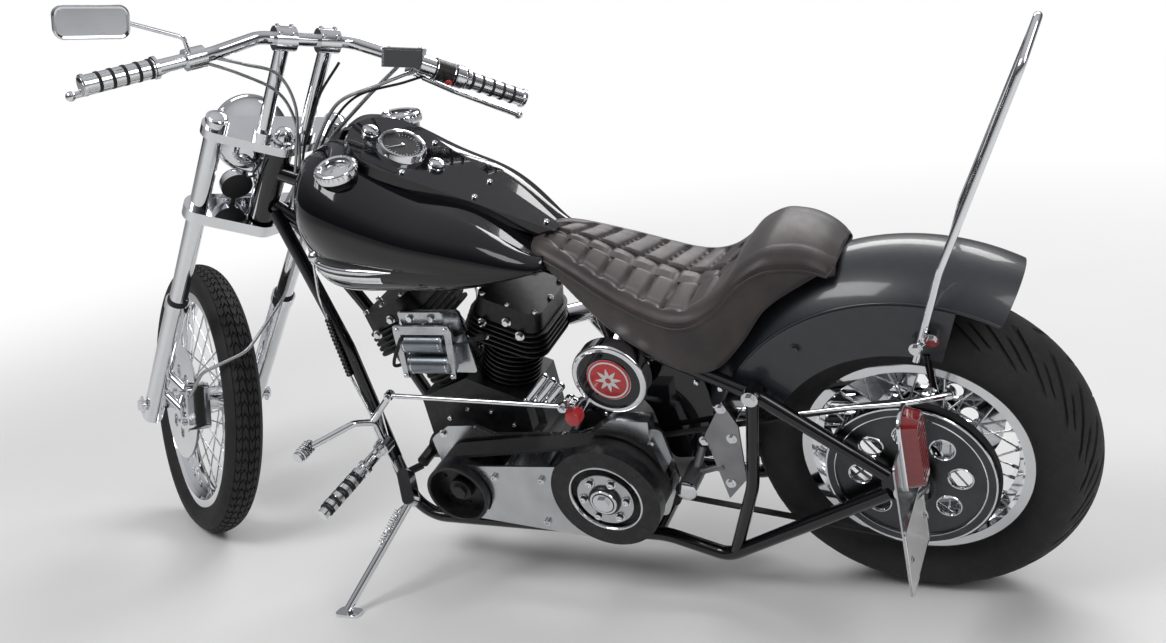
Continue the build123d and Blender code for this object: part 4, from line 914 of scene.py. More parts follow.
def tank_badges():
    """The badge bar, strip and boss of each tank."""
    badges = Shape()
    for name, hand in SIDES.items():
        skin = surface_of(f"tank_{name}")
        tank_bar(badges, skin, hand, BADGE_ENDS, 6.5, 5, 40, 12, True)
        tank_bar(badges, skin, hand, STRIP_ENDS, 7.6, 2.2)
        badges.finish = 1
        tank_bar(badges, skin, hand, STRIP_FACE_ENDS, 4.8, 3.0)
        badges.finish = 0
        boss = aim(*tank_point(skin, hand, BADGE_BOSS_X, BADGE_BOSS_Z, -1))
        badges.dome([(0, 0), (13, 0), (13, 3), (10, 9), (5, 12), (0, 12.6)], boss, 24)
    piece("tank_badges", badges, "chassis", [CHROME, PALE_ENAMEL], 50)


# Console dial, knobs and screws, in the console's own sloping plane
CONSOLE_SLOPE = atan2(1040 - 785, 1060 - 655)
CONSOLE = Matrix.Translation((857.5, 0, 910.5)) @ Matrix.Rotation(-CONSOLE_SLOPE, 4, "Y")
DIAL_X = 125
DIAL_RING = (
    (40, 31), (41, 35), (43.5, 37), (46.5, 36.5), (48.5, 33), (49.5, 25), (51, 22.5), (44, 22.2), (40, 30),
)
DIAL_TICKS, DIAL_SWEEP, NEEDLE_TURN = 24, 260, radians(-120)
KNOBS_X = (45, 198)
KNOB_PROFILE = ((0, 0), (17, 0), (17, 2.5), (15.6, 4), (15.5, 9), (13, 12.5), (8, 14), (0, 14.5))
KNOB_RIBS = 18
CONSOLE_SCREWS = ((-205, 0), (-60, 34), (-60, -34), (85, 68), (85, -68))


def console_dial():
    """The console's dial with its needle, two knobs and five screws."""
    dash = Shape()
    dial = CONSOLE @ Matrix.Translation((DIAL_X, 0, 0))
    dash.lathe(DIAL_RING, dial, 64, True)
    dash.finish = 1
    dash.dome([(0, 31.3), (40.5, 31.3), (40.5, 31), (0, 31)], dial, 48)
    dash.finish = 2
    for n in range(DIAL_TICKS + 1):
        turn = radians(DIAL_SWEEP * (n / DIAL_TICKS - 0.5))
        inner = -36 + (7 if n % 4 == 0 else 3.5)
        tick = dial @ Matrix.Rotation(turn, 4, "Z")
        dash.plate([(-36, -0.5), (-36, 0.5), (inner, 0.5), (inner, -0.5)], 31.25, 31.7, tick)
    needle = dial @ Matrix.Rotation(NEEDLE_TURN, 4, "Z")
    dash.plate([(-31, -0.5), (-31, 0.5), (6, 1.4), (6, -1.4)], 32, 32.8, needle)
    dash.finish = 0
    dash.dome([(0, 31.5), (4, 31.5), (4, 33.5), (0, 34.2)], dial, 20)
    for x in KNOBS_X:
        knob = CONSOLE @ Matrix.Translation((x, 0, 21.5))
        dash.dome(KNOB_PROFILE, knob, 32)
        for rib in around(knob, 15.3, KNOB_RIBS):
            dash.dome([(0, 4), (1.2, 4), (1.2, 10), (0, 11)], rib, 6)
    skin = surface_of("console")
    for x, y in CONSOLE_SCREWS:
        place, normal = met(skin, CONSOLE @ Vector((x, y, 90)), CONSOLE.to_3x3() @ -UP)
        dash.cap_screw(6, 4.5, aim(place - 0.4 * normal, normal))
    piece("console_dial", dash, "chassis", [CHROME, PLASTIC, PALE_ENAMEL], 34)


# Round cover: a black face with a red disc, pale ring and plain rosette. Heights are from the
# bike's middle plane.
ROSETTE_RADII = (27, 17, 11, 17)


def round_cover_face():
    """The face let into the chrome rim of the round cover."""
    face = Shape()
    cover = aim(COVER, LEFT)
    face.lathe([(45.8, 145.6), (45.8, 146.8), (65.4, 146.8), (65.8, 146.2), (65.8, 145.6)], cover, 64, True)
    face.finish = 1
    face.dome([(0, 148.6), (45, 148.6), (45, 150), (44, 150.6), (0, 151.2)], cover, 64)
    face.finish = 2
    face.lathe([(38, 150.4), (38.4, 151.6), (41.2, 151.6), (41.6, 150.4)], cover, 64)
    rosette = []
    for n in range(32):
        radius = ROSETTE_RADII[n % 4]
        rosette.append((radius * cos(pi * n / 16), radius * sin(pi * n / 16)))
    face.plate(rosette, 150.4, 152.2, cover)
    face.finish = 1
    face.dome([(0, 152), (6, 152), (6, 152.6), (0, 152.8)], cover, 24)
    piece("round_cover_face", face, "chassis", [BLACK, RED_ENAMEL, PALE_ENAMEL], 40)


# Clutch and front pulley, from their middles outward. Heights are from the bike's middle plane.
CLUTCH_RING = ((73, 198.2), (73, 212), (74, 218), (76, 220.4), (78.4, 220.6), (79.7, 219.4), (79.8, 198.2))
BOWL_RIM = ((64.2, 226), (65.2, 234), (66, 234.9), (70.4, 234.9), (71.2, 234), (71.3, 230))
CLUTCH_SPRINGS, CLUTCH_SPRING_RADIUS = 6, 47
PULLEY_SCREWS, PULLEY_SCREW_RADIUS = 6, 45


def drive_hubs():
    """The clutch's ring, spring cups and polished face, and the front pulley's rim, nut and screws."""
    hub = Shape()
    clutch = aim(CLUTCH, LEFT)
    hub.lathe(CLUTCH_RING, clutch, 72)
    for cup in around(clutch, CLUTCH_SPRING_RADIUS, CLUTCH_SPRINGS):
        hub.lathe([(7.2, 220.3), (10.5, 220.3), (10.5, 222.5), (9.6, 223.5), (7.2, 223.5)], cup, 20, True)
        hub.cap_screw(6.6, 3, raised(cup, 226.6))
    hub.hex_bolt(15, 9, raised(clutch, 229.8))
    hub.lathe([(24, 229.6), (24, 231.4), (28, 231.4), (29, 229.6)], clutch, 40)
    hub.finish = 2
    hub.lathe([(33, 219.8), (33, 220.8), (59.4, 220.8), (60.6, 219.8), (60.6, 201)], clutch, 72)
    # From here on the dark plastic finish is used. The front pulley's centre nut takes it as painted shade,
    # standing in for the shade of the deep bowl the nut sits in.
    hub.finish = 1
    crank = aim(CRANK, LEFT)
    hub.hex_bolt(17, 12, raised(crank, 215.6))
    hub.lathe(BOWL_RIM, crank, 72)
    for screw in around(crank, PULLEY_SCREW_RADIUS, PULLEY_SCREWS, 201.6, 30):
        hub.cap_screw(4.5, 4, screw)
    piece("drive_hubs", hub, "chassis", [CHROME, PLASTIC, POLISHED], 36)


# Screws on the guard, the plates and the cases, by their (x, z)
GUARD_SCREWS = ((829, 345), (719, 345), (735, 235))
GUARD_FACE_Y = 218.6
PLATE_BOLTS = ((528, 414), (482, 410), (690, 398), (900, 404), (985, 388), (1004, 300), (700, 216))
GEARBOX_SCREWS = ((510, 210), (680, 215), (690, 300), (680, 395), (605, 422), (510, 390))
CASE_SCREW_RADIUS = 112
CASE_SCREW_TURNS = range(-40, 230, 30)


def case_screws():
    """Screws round the belt guard, motor plate, crankcase and transmission."""
    screws = Shape()
    for x, z in GUARD_SCREWS:
        screws.cap_screw(7.4, 5, aim((x, GUARD_FACE_Y, z), LEFT))
    motor_plate, crankcase, gearbox = map(surface_of, ("motor_plate", "crankcase", "transmission"))
    for x, z in PLATE_BOLTS:
        screws.hex_bolt(6.5, 7, facing_side(motor_plate, x, z, 1))
    for turn in CASE_SCREW_TURNS:
        x = CRANK.x + CASE_SCREW_RADIUS * cos(radians(turn))
        z = CRANK.z + CASE_SCREW_RADIUS * sin(radians(turn))
        for hand in HANDS:
            screws.cap_screw(5.5, 6, facing_side(crankcase, x, z, hand))
    for x, z in GEARBOX_SCREWS:
        for hand in HANDS:
            screws.cap_screw(6, 6, facing_side(gearbox, x, z, hand))
    piece("case_screws", screws, "chassis", [CHROME], 36)


# Coils: two drums one above the other in a bracket
COIL_Y, COIL_HEIGHTS = 118, (612, 560)
COIL_REAR, COIL_FRONT, COIL_RADIUS = 912, 1012, 22.6
COIL_CAP = ((0, -6), (22.9, -6), (22.9, -1), (20, 1.5), (9, 2), (0, 2))
COIL_BAND = ((21.8, -2), (22.9, -1.4), (22.9, 1.4), (21.8, 2))
COIL_BAND_INSET = 7
BRACKET_BOLTS = ((926, 672), (978, 672))
BRACKET_SCREWS = ((893, 652), (1010, 652), (911, 538), (1028, 538))

# Cylinder heads: the front one leans ahead and the rear one back, each with its plug and lead.
# Bolts are given across the head, and side bolts by their place along and up the cylinder.
HEAD_LEAN = radians(22.5)
HEAD_TOP = 398
HEAD_BOLTS = ((-58, 64), (0, 70), (58, 64), (-58, -64), (0, -70), (58, -64), (-66, 0), (66, 0))
HEAD_SIDE_BOLTS = ((-44, 352), (-8, 366), (40, 352))
PLUG_SHIFT, PLUG_Y, PLUG_HEIGHT = 30, 84, 318
LEAD_RADIUS = 3.7
PLUG_BOOT = ((0, 12), (7, 12), (8.2, 14), (8.2, 26), (6, 30), (5.4, 42), (4, 44), (0, 44))
COIL_BOOT = ((0, -3), (9, -3), (9.6, 6), (6, 12), (4.4, 20), (0, 20))


def head_frame(hand):
    """A cylinder's directions along and up, ahead for 1 and back for -1."""
    lean = hand * HEAD_LEAN
    return Vector((cos(lean), 0, -sin(lean))), Vector((sin(lean), 0, cos(lean)))


def head_bolts():
    """Screws on the rocker boxes and bolts along the heads' sides."""
    heads = Shape()
    for name, hand in (("front", 1), ("rear", -1)):
        along, up = head_frame(hand)
        head = surface_of(f"{name}_cylinder")
        for x, y in HEAD_BOLTS:
            start = CRANK + along * x + Vector((0, y, 0)) + up * (HEAD_TOP + 60)
            heads.cap_screw(6, 6.5, facing(head, start, up, 0.6))
        for side in HANDS:
            for x, height in HEAD_SIDE_BOLTS:
                start = CRANK + along * x + Vector((0, side * WELL_OUT, 0)) + up * height
                heads.hex_bolt(7, 8, facing(head, start, (0, side, 0), 0))
    piece("head_bolts", heads, "chassis", [CHROME], 36)


def spark_plugs_and_leads():
    """A plug in each head, and its lead to the nearer coil."""
    plugs, leads = Shape(), Shape()
    for hand, coil_x, coil_z in ((1, COIL_FRONT, COIL_HEIGHTS[1]), (-1, COIL_REAR, COIL_HEIGHTS[0])):
        along, up = head_frame(hand)
        root = CRANK - along * PLUG_SHIFT * hand + Vector((0, PLUG_Y, 0)) + up * PLUG_HEIGHT
        outward = (Vector(LEFT) + up * 0.25 - along * 0.3 * hand).normalized()
        plugs.dome([(0, 0), (9, 0), (9, 6), (6.5, 7), (6.5, 16), (0, 16)], aim(root, outward), 18)
        leads.dome(PLUG_BOOT, aim(root, outward), 18)
        tip = root + outward * 42
        coil_end, away = Vector((coil_x, COIL_Y, coil_z)), Vector((hand, 0, 0))
        leads.dome(COIL_BOOT, aim(coil_end, away), 18)
        bend = coil_end + away * 38 + Vector((0, 14, 4))
        path = [tip - outward * 4, tip + outward * 14, bend, coil_end + away * 14]
        leads.pipe(curve_through(path, 10), LEAD_RADIUS, 10)
    piece("spark_plugs", plugs, "chassis", [POLISHED], 36)
    piece("plug_leads", leads, "chassis", [RUBBER], 40)


def coil_fittings():
    """The coils' turned end caps and bands, and their bracket's screws."""
    coils = Shape()
    for z in COIL_HEIGHTS:
        coils.finish = 1
        for x, way in ((COIL_REAR, REARWARD), (COIL_FRONT, FORWARD)):
            coils.dome(COIL_CAP, aim((x, COIL_Y, z), way), 32)
        coils.finish = 0
        for x in (COIL_REAR + COIL_BAND_INSET, COIL_FRONT - COIL_BAND_INSET):
            coils.lathe(COIL_BAND, aim((x, COIL_Y, z), FORWARD), 32)
    for x, z in BRACKET_BOLTS:
        coils.hex_bolt(7, 7, aim((x, 119.6, z), LEFT))
    for x, z in BRACKET_SCREWS:
        coils.cap_screw(4.6, 4, aim((x, 133.6, z), LEFT))
    piece("coil_fittings", coils, "chassis", [CHROME, COIL_STEEL], 36)


def dull_coil_drums():
    """Makes the coils' drums duller than the bracket that holds them."""
    refinish("ignition_coils", POLISHED, COIL_STEEL)
    for facet in nodes["ignition_coils"].data.polygons:
        place = BIKE.inverted() @ facet.center
        for z in COIL_HEIGHTS:
            outward = Vector((0, place.y - COIL_Y, place.z - z))
            square_on = facet.normal.dot((BIKE.to_3x3() @ outward).normalized())
            on_drum = COIL_REAR - 1 < place.x < COIL_FRONT + 1 and outward.length < COIL_RADIUS
            if on_drum and square_on > 0.95:
                facet.material_index = 1


# Three chrome tubes beside the rear cylinder, held by a strap on the motor plate
OIL_TUBES = 3


def upright_plate(shape, x0, x1, z0, z1, y0, y1):
    """A rectangular plate standing along the bike, between two distances to its left."""
    shape.plate([(x0, z0), (x1, z0), (x1, z1), (x0, z1)], -y1, -y0, SIDE_PLANE)


def oil_tubes():
    """The capped tubes, their collars and their strap."""
    tubes = Shape()
    run = Vector((-62, 0, 66))
    for n in range(OIL_TUBES):
        foot = aim((778 - 24 * n, 100, 452 - 2 * n), run)
        length = 96 - 12 * n
        tubes.dome([(0, 0), (8.5, 0), (8.5, length - 4), (6.5, length), (0, length + 1)], foot, 20)
        tubes.lathe([(8.3, 6), (11, 7), (11, 15), (8.3, 16)], foot, 20)
    tubes.finish = 1
    upright_plate(tubes, 722, 788, 452, 462, 92, 104)
    upright_plate(tubes, 746, 764, 396, 456, 93, 98)
    upright_plate(tubes, 746, 764, 396, 401, 94, 128)
    piece("oil_tubes", tubes, "chassis", [CHROME, FINISHES["engine_black"]], 36, 0.6)


# Cable down the front of the left down tube, with a black wound sleeve on its middle
STEPS_A_SPAN = 40
SLEEVE_FIRST_SPAN, SLEEVE_LAST_SPAN = 3, 6
TURNS_IN_SLEEVE = 15
WOUND_CABLE = (
    (1214, 64, 802), (1230, 60, 751), (1248, 56, 685), (1238, 66, 638), (1232, 74, 594), (1225, 80, 545),
    (1219, 86, 500), (1209, 92, 471), (1197, 99, 441), (1186, 106, 408), (1176, 116, 340), (1160, 118, 256),
)


def wound_cable():
    """The cable and its sleeve, whose radius swells with each turn."""
    cable = Shape()
    line = curve_through(WOUND_CABLE, STEPS_A_SPAN)
    cable.pipe(line, 3.2, 10)
    cable.finish = 1
    sleeve = line[SLEEVE_FIRST_SPAN * STEPS_A_SPAN:SLEEVE_LAST_SPAN * STEPS_A_SPAN + 1]
    cable.pipe(sleeve, lambda share: 6.2 + 2.4 * abs(sin(pi * TURNS_IN_SLEEVE * share)), 16)
    piece("wound_cable", cable, "chassis", [CHROME, BLACK], 50)


# Chrome rod behind the seat
FENDER_ROD = ((182, 134, 474), (90, 131, 488), (-7, 131, 501), (-92, 131, 521))
ROD_TAB = ((-60, 508), (-72, 510), (-64, 596), (-52, 596))


def fender_rod():
    """The rod along the fender's foot, thicker to the rear, with its knob and tab."""
    rod = Shape()
    rod.pipe(curve_through(FENDER_ROD), lambda share: 3.4 + 2.8 * share, 14)
    rod.dome([(0, 0), (8, 0), (8, 10), (6, 14), (0, 14.5)], aim((-84, 131, 519), (-1, 0, 0.22)), 20)
    rod.finish = 1
    rod.plate(ROD_TAB, -122, -118.4, SIDE_PLANE)
    rod.finish = 0
    rod.hex_bolt(6, 6, aim((-60, 121.6, 522), LEFT))
    rod.dome([(0, 0), (5, 0), (5, 12), (0, 12)], aim((-60, 120, 514), LEFT), 16)
    piece("fender_rod", rod, "chassis", [CHROME, BLACK], 40)


# Bead along the fender's edges
BEAD_RADIUS, BEAD_Y, BEAD_STEPS = 370, 111.6, 60
BEAD_START, BEAD_SWEEP = radians(20.5), radians(99)
UPPER_PANEL_BOLT, LOWER_PANEL_BOLT = (173, 117.8, 604), (240, 139.6, 503)


def fender_bead():
    """The rolled bead and the side panels' bolts, in the fender's own satin black."""
    bead = Shape()
    for hand in HANDS:
        line = []
        for n in range(BEAD_STEPS + 1):
            turn = BEAD_START + BEAD_SWEEP * n / BEAD_STEPS
            line.append((BEAD_RADIUS * cos(turn), hand * BEAD_Y, REAR_RADIUS + BEAD_RADIUS * sin(turn)))
        bead.pipe(line, 3.2, 10)
        bead.hex_bolt(8, 7, on_side(UPPER_PANEL_BOLT, hand))
        bead.hex_bolt(6.5, 6, on_side(LOWER_PANEL_BOLT, hand))
    refinish("rear_fender", FENDER_SATIN)
    piece("fender_bead", bead, "chassis", [FENDER_SATIN], 40)


# Bolts of the sissy bar, the stays, the side covers and the axle
SISSY_BOLTS = ((-46, 137, 619), (-74, 137, 637))
STAY_BOLT, AXLE_BOLT, SEAT_BOLT = (262, 159.6, 520), (0, 166, REAR_RADIUS), (657, 20, 757)
COVER_BOLTS = ((390, 117.5, 388), (340, 122.6, 470), (352, 122.6, 290), (330, 122.6, 400))
PIVOT_CAP_PLACE = (430, 164.6, 300)
ROUND_STUDS = ((387, 90, 565), (391, 90, 508), (332, 118, 515), (252, 155, 526))


def frame_bolts():
    """Hex bolts and round studs along the rear of the frame."""
    bolts = Shape()
    for hand in HANDS:
        for place in SISSY_BOLTS:
            bolts.hex_bolt(8.5, 8, on_side(place, hand))
        bolts.hex_bolt(11, 9, on_side(STAY_BOLT, hand))
        bolts.hex_bolt(14, 12, on_side(AXLE_BOLT, hand))
    for place in COVER_BOLTS:
        bolts.hex_bolt(7.5, 7, aim(place, LEFT))
    big_cap = [(0, 0), (22, 0), (22, 5), (19, 8), (8, 10), (0, 10)]
    bolts.dome(big_cap, aim(PIVOT_CAP_PLACE, LEFT), 32)
    for place in ROUND_STUDS:
        bolts.dome([(0, -2), (7, -2), (7, 3), (4.5, 6), (0, 7)], aim(place, LEFT), 18)
    bolts.hex_bolt(8, 8, aim(SEAT_BOLT, LEFT))
    piece("frame_bolts", bolts, "chassis", [CHROME], 36)


# Tail lamp and plate, which face rearward on their bracket left of the wheel
PLATE_Y, PLATE_FACE_X = 250, -33
LAMP_Z, PLATE_Z, PLATE_DROP = 495, 370, 68
LAMP_RIBS, RIB_PITCH, RIB_LOWEST = 11, 10.6, 442
LENS_DEPTH, LENS_FACE_X, LENS_SCREW_Y = 31.4, -64.6, 53.04
BEZEL_PROFILE = ((0.4, 0.2), (4, 0.2), (4.4, 1.5), (4, 5), (2.5, 6.5), (0.2, 6.5), (-0.8, 5))
FRAME_PROFILE = ((0.5, 0.1), (0.5, 2.4), (-1.5, 3), (-3.5, 2.4), (-3.5, 0.1))


def tail_lamp():
    """The lamp's bezel with two screws, and the ribs of its lens."""
    bezel = Shape()
    lamp_at = aim((PLATE_FACE_X, PLATE_Y, LAMP_Z), REARWARD)
    bezel.skin(rounded_rows(33, 75, 22, BEZEL_PROFILE), round_row=True, at=lamp_at)
    for hand in HANDS:
        bezel.cap_screw(3.4, 2.4, lamp_at @ Matrix.Translation((0, hand * LENS_SCREW_Y, LENS_DEPTH)))
    piece("tail_lamp_bezel", bezel, "chassis", [CHROME], 34)
    ribs = Shape()
    for n in range(LAMP_RIBS):
        z = RIB_LOWEST + RIB_PITCH * n
        half = 21.6 if n in (0, LAMP_RIBS - 1) else 24
        ribs.pipe([(LENS_FACE_X, PLATE_Y - half, z), (LENS_FACE_X, PLATE_Y + half, z)], 1.7, 8)
    piece("tail_lamp_ribs", ribs, "chassis", [FINISHES["red_lens"]], 50)


def plate_sheet():
    """A blank pale plate inside its frame, with two screws."""
    plate = Shape()
    sheet_at = aim((PLATE_FACE_X, PLATE_Y, PLATE_Z), REARWARD)
    plate.finish = 1
    plate.plate(rounded(78, 68, 8), 0.2, 1.6, sheet_at @ Matrix.Translation((0, -PLATE_DROP, 0)))
    plate.finish = 0
    plate.skin(rounded_rows(80, 71, 9, FRAME_PROFILE, -PLATE_DROP), round_row=True, at=sheet_at)
    for hand in HANDS:
        plate.hex_bolt(4.5, 4, aim((-34.4, PLATE_Y + 60 * hand, 300), REARWARD))
    piece("plate_sheet", plate, "chassis", [CHROME, PALE_ENAMEL], 36)


# Foot pegs and the ends of the forward controls
PEG_RIBS = 13
PEGS = (((1082, 250, 413), (1118, 424, 389)), ((1104, -240, 408), (1124, -424, 389)))
PEG_RIB = ((12, -0.4), (14.6, -0.4), (15.4, 0.8), (15.4, 4), (14.6, 5.2), (12, 5.2))
FILTER_CAP = ((0, 186), (15, 186), (17, 190), (17.5, 206), (15, 212), (9, 215), (0, 216))
FILTER_PLACE = (611, 0, 496)
ROD_JOINTS, ROD_Y = ((999, 561), (603, 549)), 240
ROD_JOINT = ((0, -9), (9, -9), (10, -6), (10, 6), (9, 9), (0, 9))
PEDAL_CAP = ((0, 0), (11, 0), (11, 3), (7, 7), (0, 8))
PEDAL_CAP_LEFT, PEDAL_CAP_RIGHT = (1059, 255.6, 433), (1100, -249.6, 420)
# Toe pegs: x, y, z and hand of each
TOE_PEGS = ((1143, 375, 513, 1), (1142, -370, 520, -1))
TOE_PEG_RIBS, TOE_RIB_PITCH, TOE_RIBS_INSET = 4, 9, 14


def peg_rubbers():
    """Fine ribs round each foot peg."""
    pegs = Shape()
    for start, tip in PEGS:
        start, tip = Vector(start), Vector(tip)
        for rib in range(PEG_RIBS):
            place = start + (tip - start) * (0.34 + 0.6 * rib / PEG_RIBS)
            pegs.lathe(PEG_RIB, aim(place, tip - start), 28)
    piece("peg_rubbers", pegs, "chassis", [RUBBER], 36)


def control_ends():
    """The filter's cap, the shift rod's joints, the pedals' pivot caps and the toe pegs' ribs."""
    ends = Shape()
    ends.finish = 1
    ends.dome(FILTER_CAP, aim(FILTER_PLACE, LEFT), 28)
    ends.finish = 0
    for x, z in ROD_JOINTS:
        joint = aim((x, ROD_Y, z), LEFT)
        ends.dome(ROD_JOINT, joint, 24)
        ends.hex_bolt(6, 5, raised(joint, 8.6))
    ends.dome(PEDAL_CAP, aim(PEDAL_CAP_LEFT, LEFT), 24)
    ends.dome(PEDAL_CAP, aim(PEDAL_CAP_RIGHT, RIGHT), 24)
    for x, y, z, hand in TOE_PEGS:
        for n in range(TOE_PEG_RIBS):
            rib = aim((x, y + hand * (TOE_RIB_PITCH * n - TOE_RIBS_INSET), z), (0.1, hand, 0))
            ends.lathe([(12, -3), (14.6, -2), (14.6, 2), (12, 3)], rib, 24)
    piece("control_ends", ends, "chassis", [CHROME, RED_ENAMEL], 36)


# Stand spring, beside the stand's leg
STAND_PIVOT, STAND_FOOT = Vector((1080, 200, 252)), Vector((1184, 400, 87))
SPRING_TURNS, STEPS_A_TURN, SPRING_RADIUS = 13, 12, 6.4


def stand_spring():
    """The spring's turns and its two hooks."""
    down = (STAND_FOOT - STAND_PIVOT).normalized()
    side = down.cross(UP).cross(down).normalized()
    across = down.cross(side)

    def beside(along, out):
        """A place along the stand's leg and out from it."""
        return STAND_PIVOT + down * along + side * out

    line = []
    for n in range(SPRING_TURNS * STEPS_A_TURN + 1):
        turn = 2 * pi * n / STEPS_A_TURN
        share = n / (SPRING_TURNS * STEPS_A_TURN)
        centre = beside(34 + 82 * share, 18 - 2 * share)
        line.append(centre + SPRING_RADIUS * (cos(turn) * side + sin(turn) * across))
    spring = Shape()
    spring.pipe(line, 1.5, 6)
    spring.pipe([beside(20, 12), beside(34, 18)], 1.6, 6)
    spring.pipe([beside(116, 16), beside(128, 8)], 1.6, 6)
    piece("stand_spring", spring, "side_stand", [CHROME], 50)


# Handlebar ends: bands and caps of the grips, clamps, and the switch's buttons
BAR_BEND = Vector((-66, 208, 1164))
BAR_TIP = Vector((-124, 436, 1130))
GRIP_BANDS = (322, 344, 367, 390, 413)
GRIP_END, GRIP_COLLAR, THROTTLE_COLLAR = 438, 313, 295
SWITCH_EDGES = (244, 281)


def on_bar(y):
    """The place on the handlebar's outer run at a distance to the left, negative to the right."""
    point = BAR_BEND.lerp(BAR_TIP, (abs(y) - BAR_BEND.y) / (BAR_TIP.y - BAR_BEND.y))
    return Vector((point.x, point.y if y > 0 else -point.y, point.z))


def round_bar(y, hand):
    """The frame on the handlebar at a distance to one side, its Z outward along the bar."""
    return aim(on_bar(hand * y), on_bar(hand * 430) - on_bar(hand * 230))


def grip_bands_and_fittings():
    """Rubber bands round the grips, and the chrome caps, collars and switch edges."""
    bands, fittings = Shape(), Shape()
    for hand in HANDS:
        for y in GRIP_BANDS:
            bands.lathe([(16.8, -3.4), (18.4, -2.6), (18.4, 2.6), (16.8, 3.4)], round_bar(y, hand), 32)
        cap = [(17, -4), (19.4, -3), (19.8, 0), (19.2, 3.6), (16, 5.2), (0.1, 5.6)]
        fittings.lathe(cap, round_bar(GRIP_END, hand), 32)
        fittings.lathe([(17, -4), (20.6, -3), (20.6, 3), (17, 4)], round_bar(GRIP_COLLAR, hand), 32)
    fittings.lathe([(20, -9), (23.5, -8), (23.5, 8), (20, 9)], round_bar(THROTTLE_COLLAR, -1), 36)
    for y in SWITCH_EDGES:
        fittings.lathe([(21.4, -1.5), (23.2, 0), (21.4, 1.5)], round_bar(y, -1), 32)
    piece("grip_bands", bands, "steering", [RUBBER], 40)
    piece("bar_fittings", fittings, "steering", [CHROME], 40)


def switch_buttons():
    """A red button, a dark button and a rocker on the right switch."""
    buttons = Shape()
    red_at = aim(on_bar(-268) + Vector((-19.5, 0, -7)), (-1, 0, -0.35))
    buttons.dome([(0, 0), (7.5, 0), (7.5, 4), (5.5, 6.5), (0, 7)], red_at, 24)
    buttons.finish = 1
    dark_at = aim(on_bar(-250) + Vector((-20, 0, -5)), (-1, 0, -0.25))
    buttons.dome([(0, 0), (6, 0), (6, 3.5), (0, 5)], dark_at, 20)
    rocker_at = aim(on_bar(-262) + Vector((-20, 0, 9)), (-0.9, 0, 0.42))
    buttons.plate(rounded(8, 4, 2), 0, 4, rocker_at)
    piece("switch_buttons", buttons, "steering", [RED_ENAMEL, PLASTIC], 40)


# Mirror, master cylinder lid and fork, in the steering's coordinates
MIRROR = plane_at((-78, 425, 1228), (-0.11, 1, 0), (-0.85, -0.1, 0.52))
MIRROR_RIM = ((-6.5, -0.1), (-6.2, 1.6), (-3, 2.4), (-0.6, 1.2), (0, -1))
LID = plane_at((-36, -186, 1172), (-0.57, -0.82, 0.08), (0.61, 0, 0.79))
FORK_OFFSET, LEG_Y = 43, 127
LEG_CAP = ((0, 924.6), (20, 924.6), (20, 927), (17, 930), (8, 931.5), (0, 932))
STEM_NUT = ((0, 906.6), (24, 906.6), (24, 910), (19, 912), (18, 922), (13, 930), (6, 934), (0, 935))
LEG_SEAL = ((20.6, 380), (24, 380), (24, 386), (21.6, 390), (20.6, 390))
RISER_X, RISER_Y, RISER_TOP = 12, 44.5, 1170.5
RISER_SCREW_X, RISER_SCREW_Y = 12, 14


def mirror():
    """The mirror's glass and the rounded rim that holds it."""
    glass = Shape()
    glass.plate(rounded(59, 23, 14), -0.2, 0.6, MIRROR)
    piece("mirror_pane", glass, "steering", [MIRROR_GLASS], 30)
    rim = Shape()
    rim.skin(rounded_rows(65, 29, 18, MIRROR_RIM), round_row=True, at=MIRROR)
    piece("mirror_rim", rim, "steering", [CHROME], 40)


def brake_reservoir_lid():
    """The stepped lid of the master cylinder, with two screws."""
    lid = Shape()
    lid.plate(rounded(44, 22, 7), -0.5, 3.5, LID)
    lid.plate(rounded(41, 19, 6), 3.4, 5, LID)
    for x in (32, -32):
        lid.cap_screw(4, 2.4, LID @ Matrix.Translation((x, 0, 4.8)))
    piece("brake_reservoir_lid", lid, "steering", [CHROME], 36, 0.5)


def fork_bolts():
    """Leg caps, clamp screws, axle nuts, the stem nut and the risers' screws."""
    bolts = Shape()
    bolts.dome(STEM_NUT)
    for hand in HANDS:
        y = hand * LEG_Y
        bolts.dome(LEG_CAP, Matrix.Translation((FORK_OFFSET, y, 0)), 28)
        bolts.cap_screw(6, 6, aim((FORK_OFFSET + 30, y - hand * 14, 670), FORWARD))
        bolts.hex_bolt(15, 10, on_side((FORK_OFFSET, 157.6, 0), hand))
        bolts.cap_screw(5, 5, aim((FORK_OFFSET + 24.4, y, -30), FORWARD))
        for ahead in (-1, 1):
            for across in HANDS:
                place = (RISER_X + ahead * RISER_SCREW_X, hand * RISER_Y + across * RISER_SCREW_Y, RISER_TOP)
                bolts.cap_screw(4.5, 4, aim(place, (0.5 * ahead, 0, 1)))
    piece("fork_bolts", bolts, "steering", [CHROME], 36)


def fork_seals():
    """A rubber seal where each leg enters its slider."""
    seals = Shape()
    for hand in HANDS:
        seals.lathe(LEG_SEAL, Matrix.Translation((FORK_OFFSET, hand * LEG_Y, 0)), 36, True)
    piece("fork_seals", seals, "steering", [RUBBER], 40)


# Headlamp and horn
LAMP = aim((140, 0, 800), (cos(RAKE), 0, -sin(RAKE)))
LAMP_LENS = ((0, 57.4), (20, 57), (41, 54.8), (60, 50), (75, 44.6), (75.5, 43.5), (0, 43.5))
LAMP_RIM = ((74, 45), (76, 47.5), (80, 47), (85.5, 40), (87, 34), (86.4, 24), (85, 21), (82, 20))
HORN_Y, HORN_Z, HORN_FACE = 52, 733, 70.2
HORN_RIM = ((26, 69.4), (27.5, 71), (29.5, 71), (34.4, 63), (34.8, 58), (34.2, 45))
HORN_BARS, HORN_BAR_PITCH, HORN_MOUTH = 5, 9, 25


def headlamp_lens():
    """The headlamp's domed glass."""
    lens = Shape()
    lens.dome(LAMP_LENS, LAMP, 56)
    piece("headlamp_lens", lens, "steering", [LAMP_GLASS], 40)


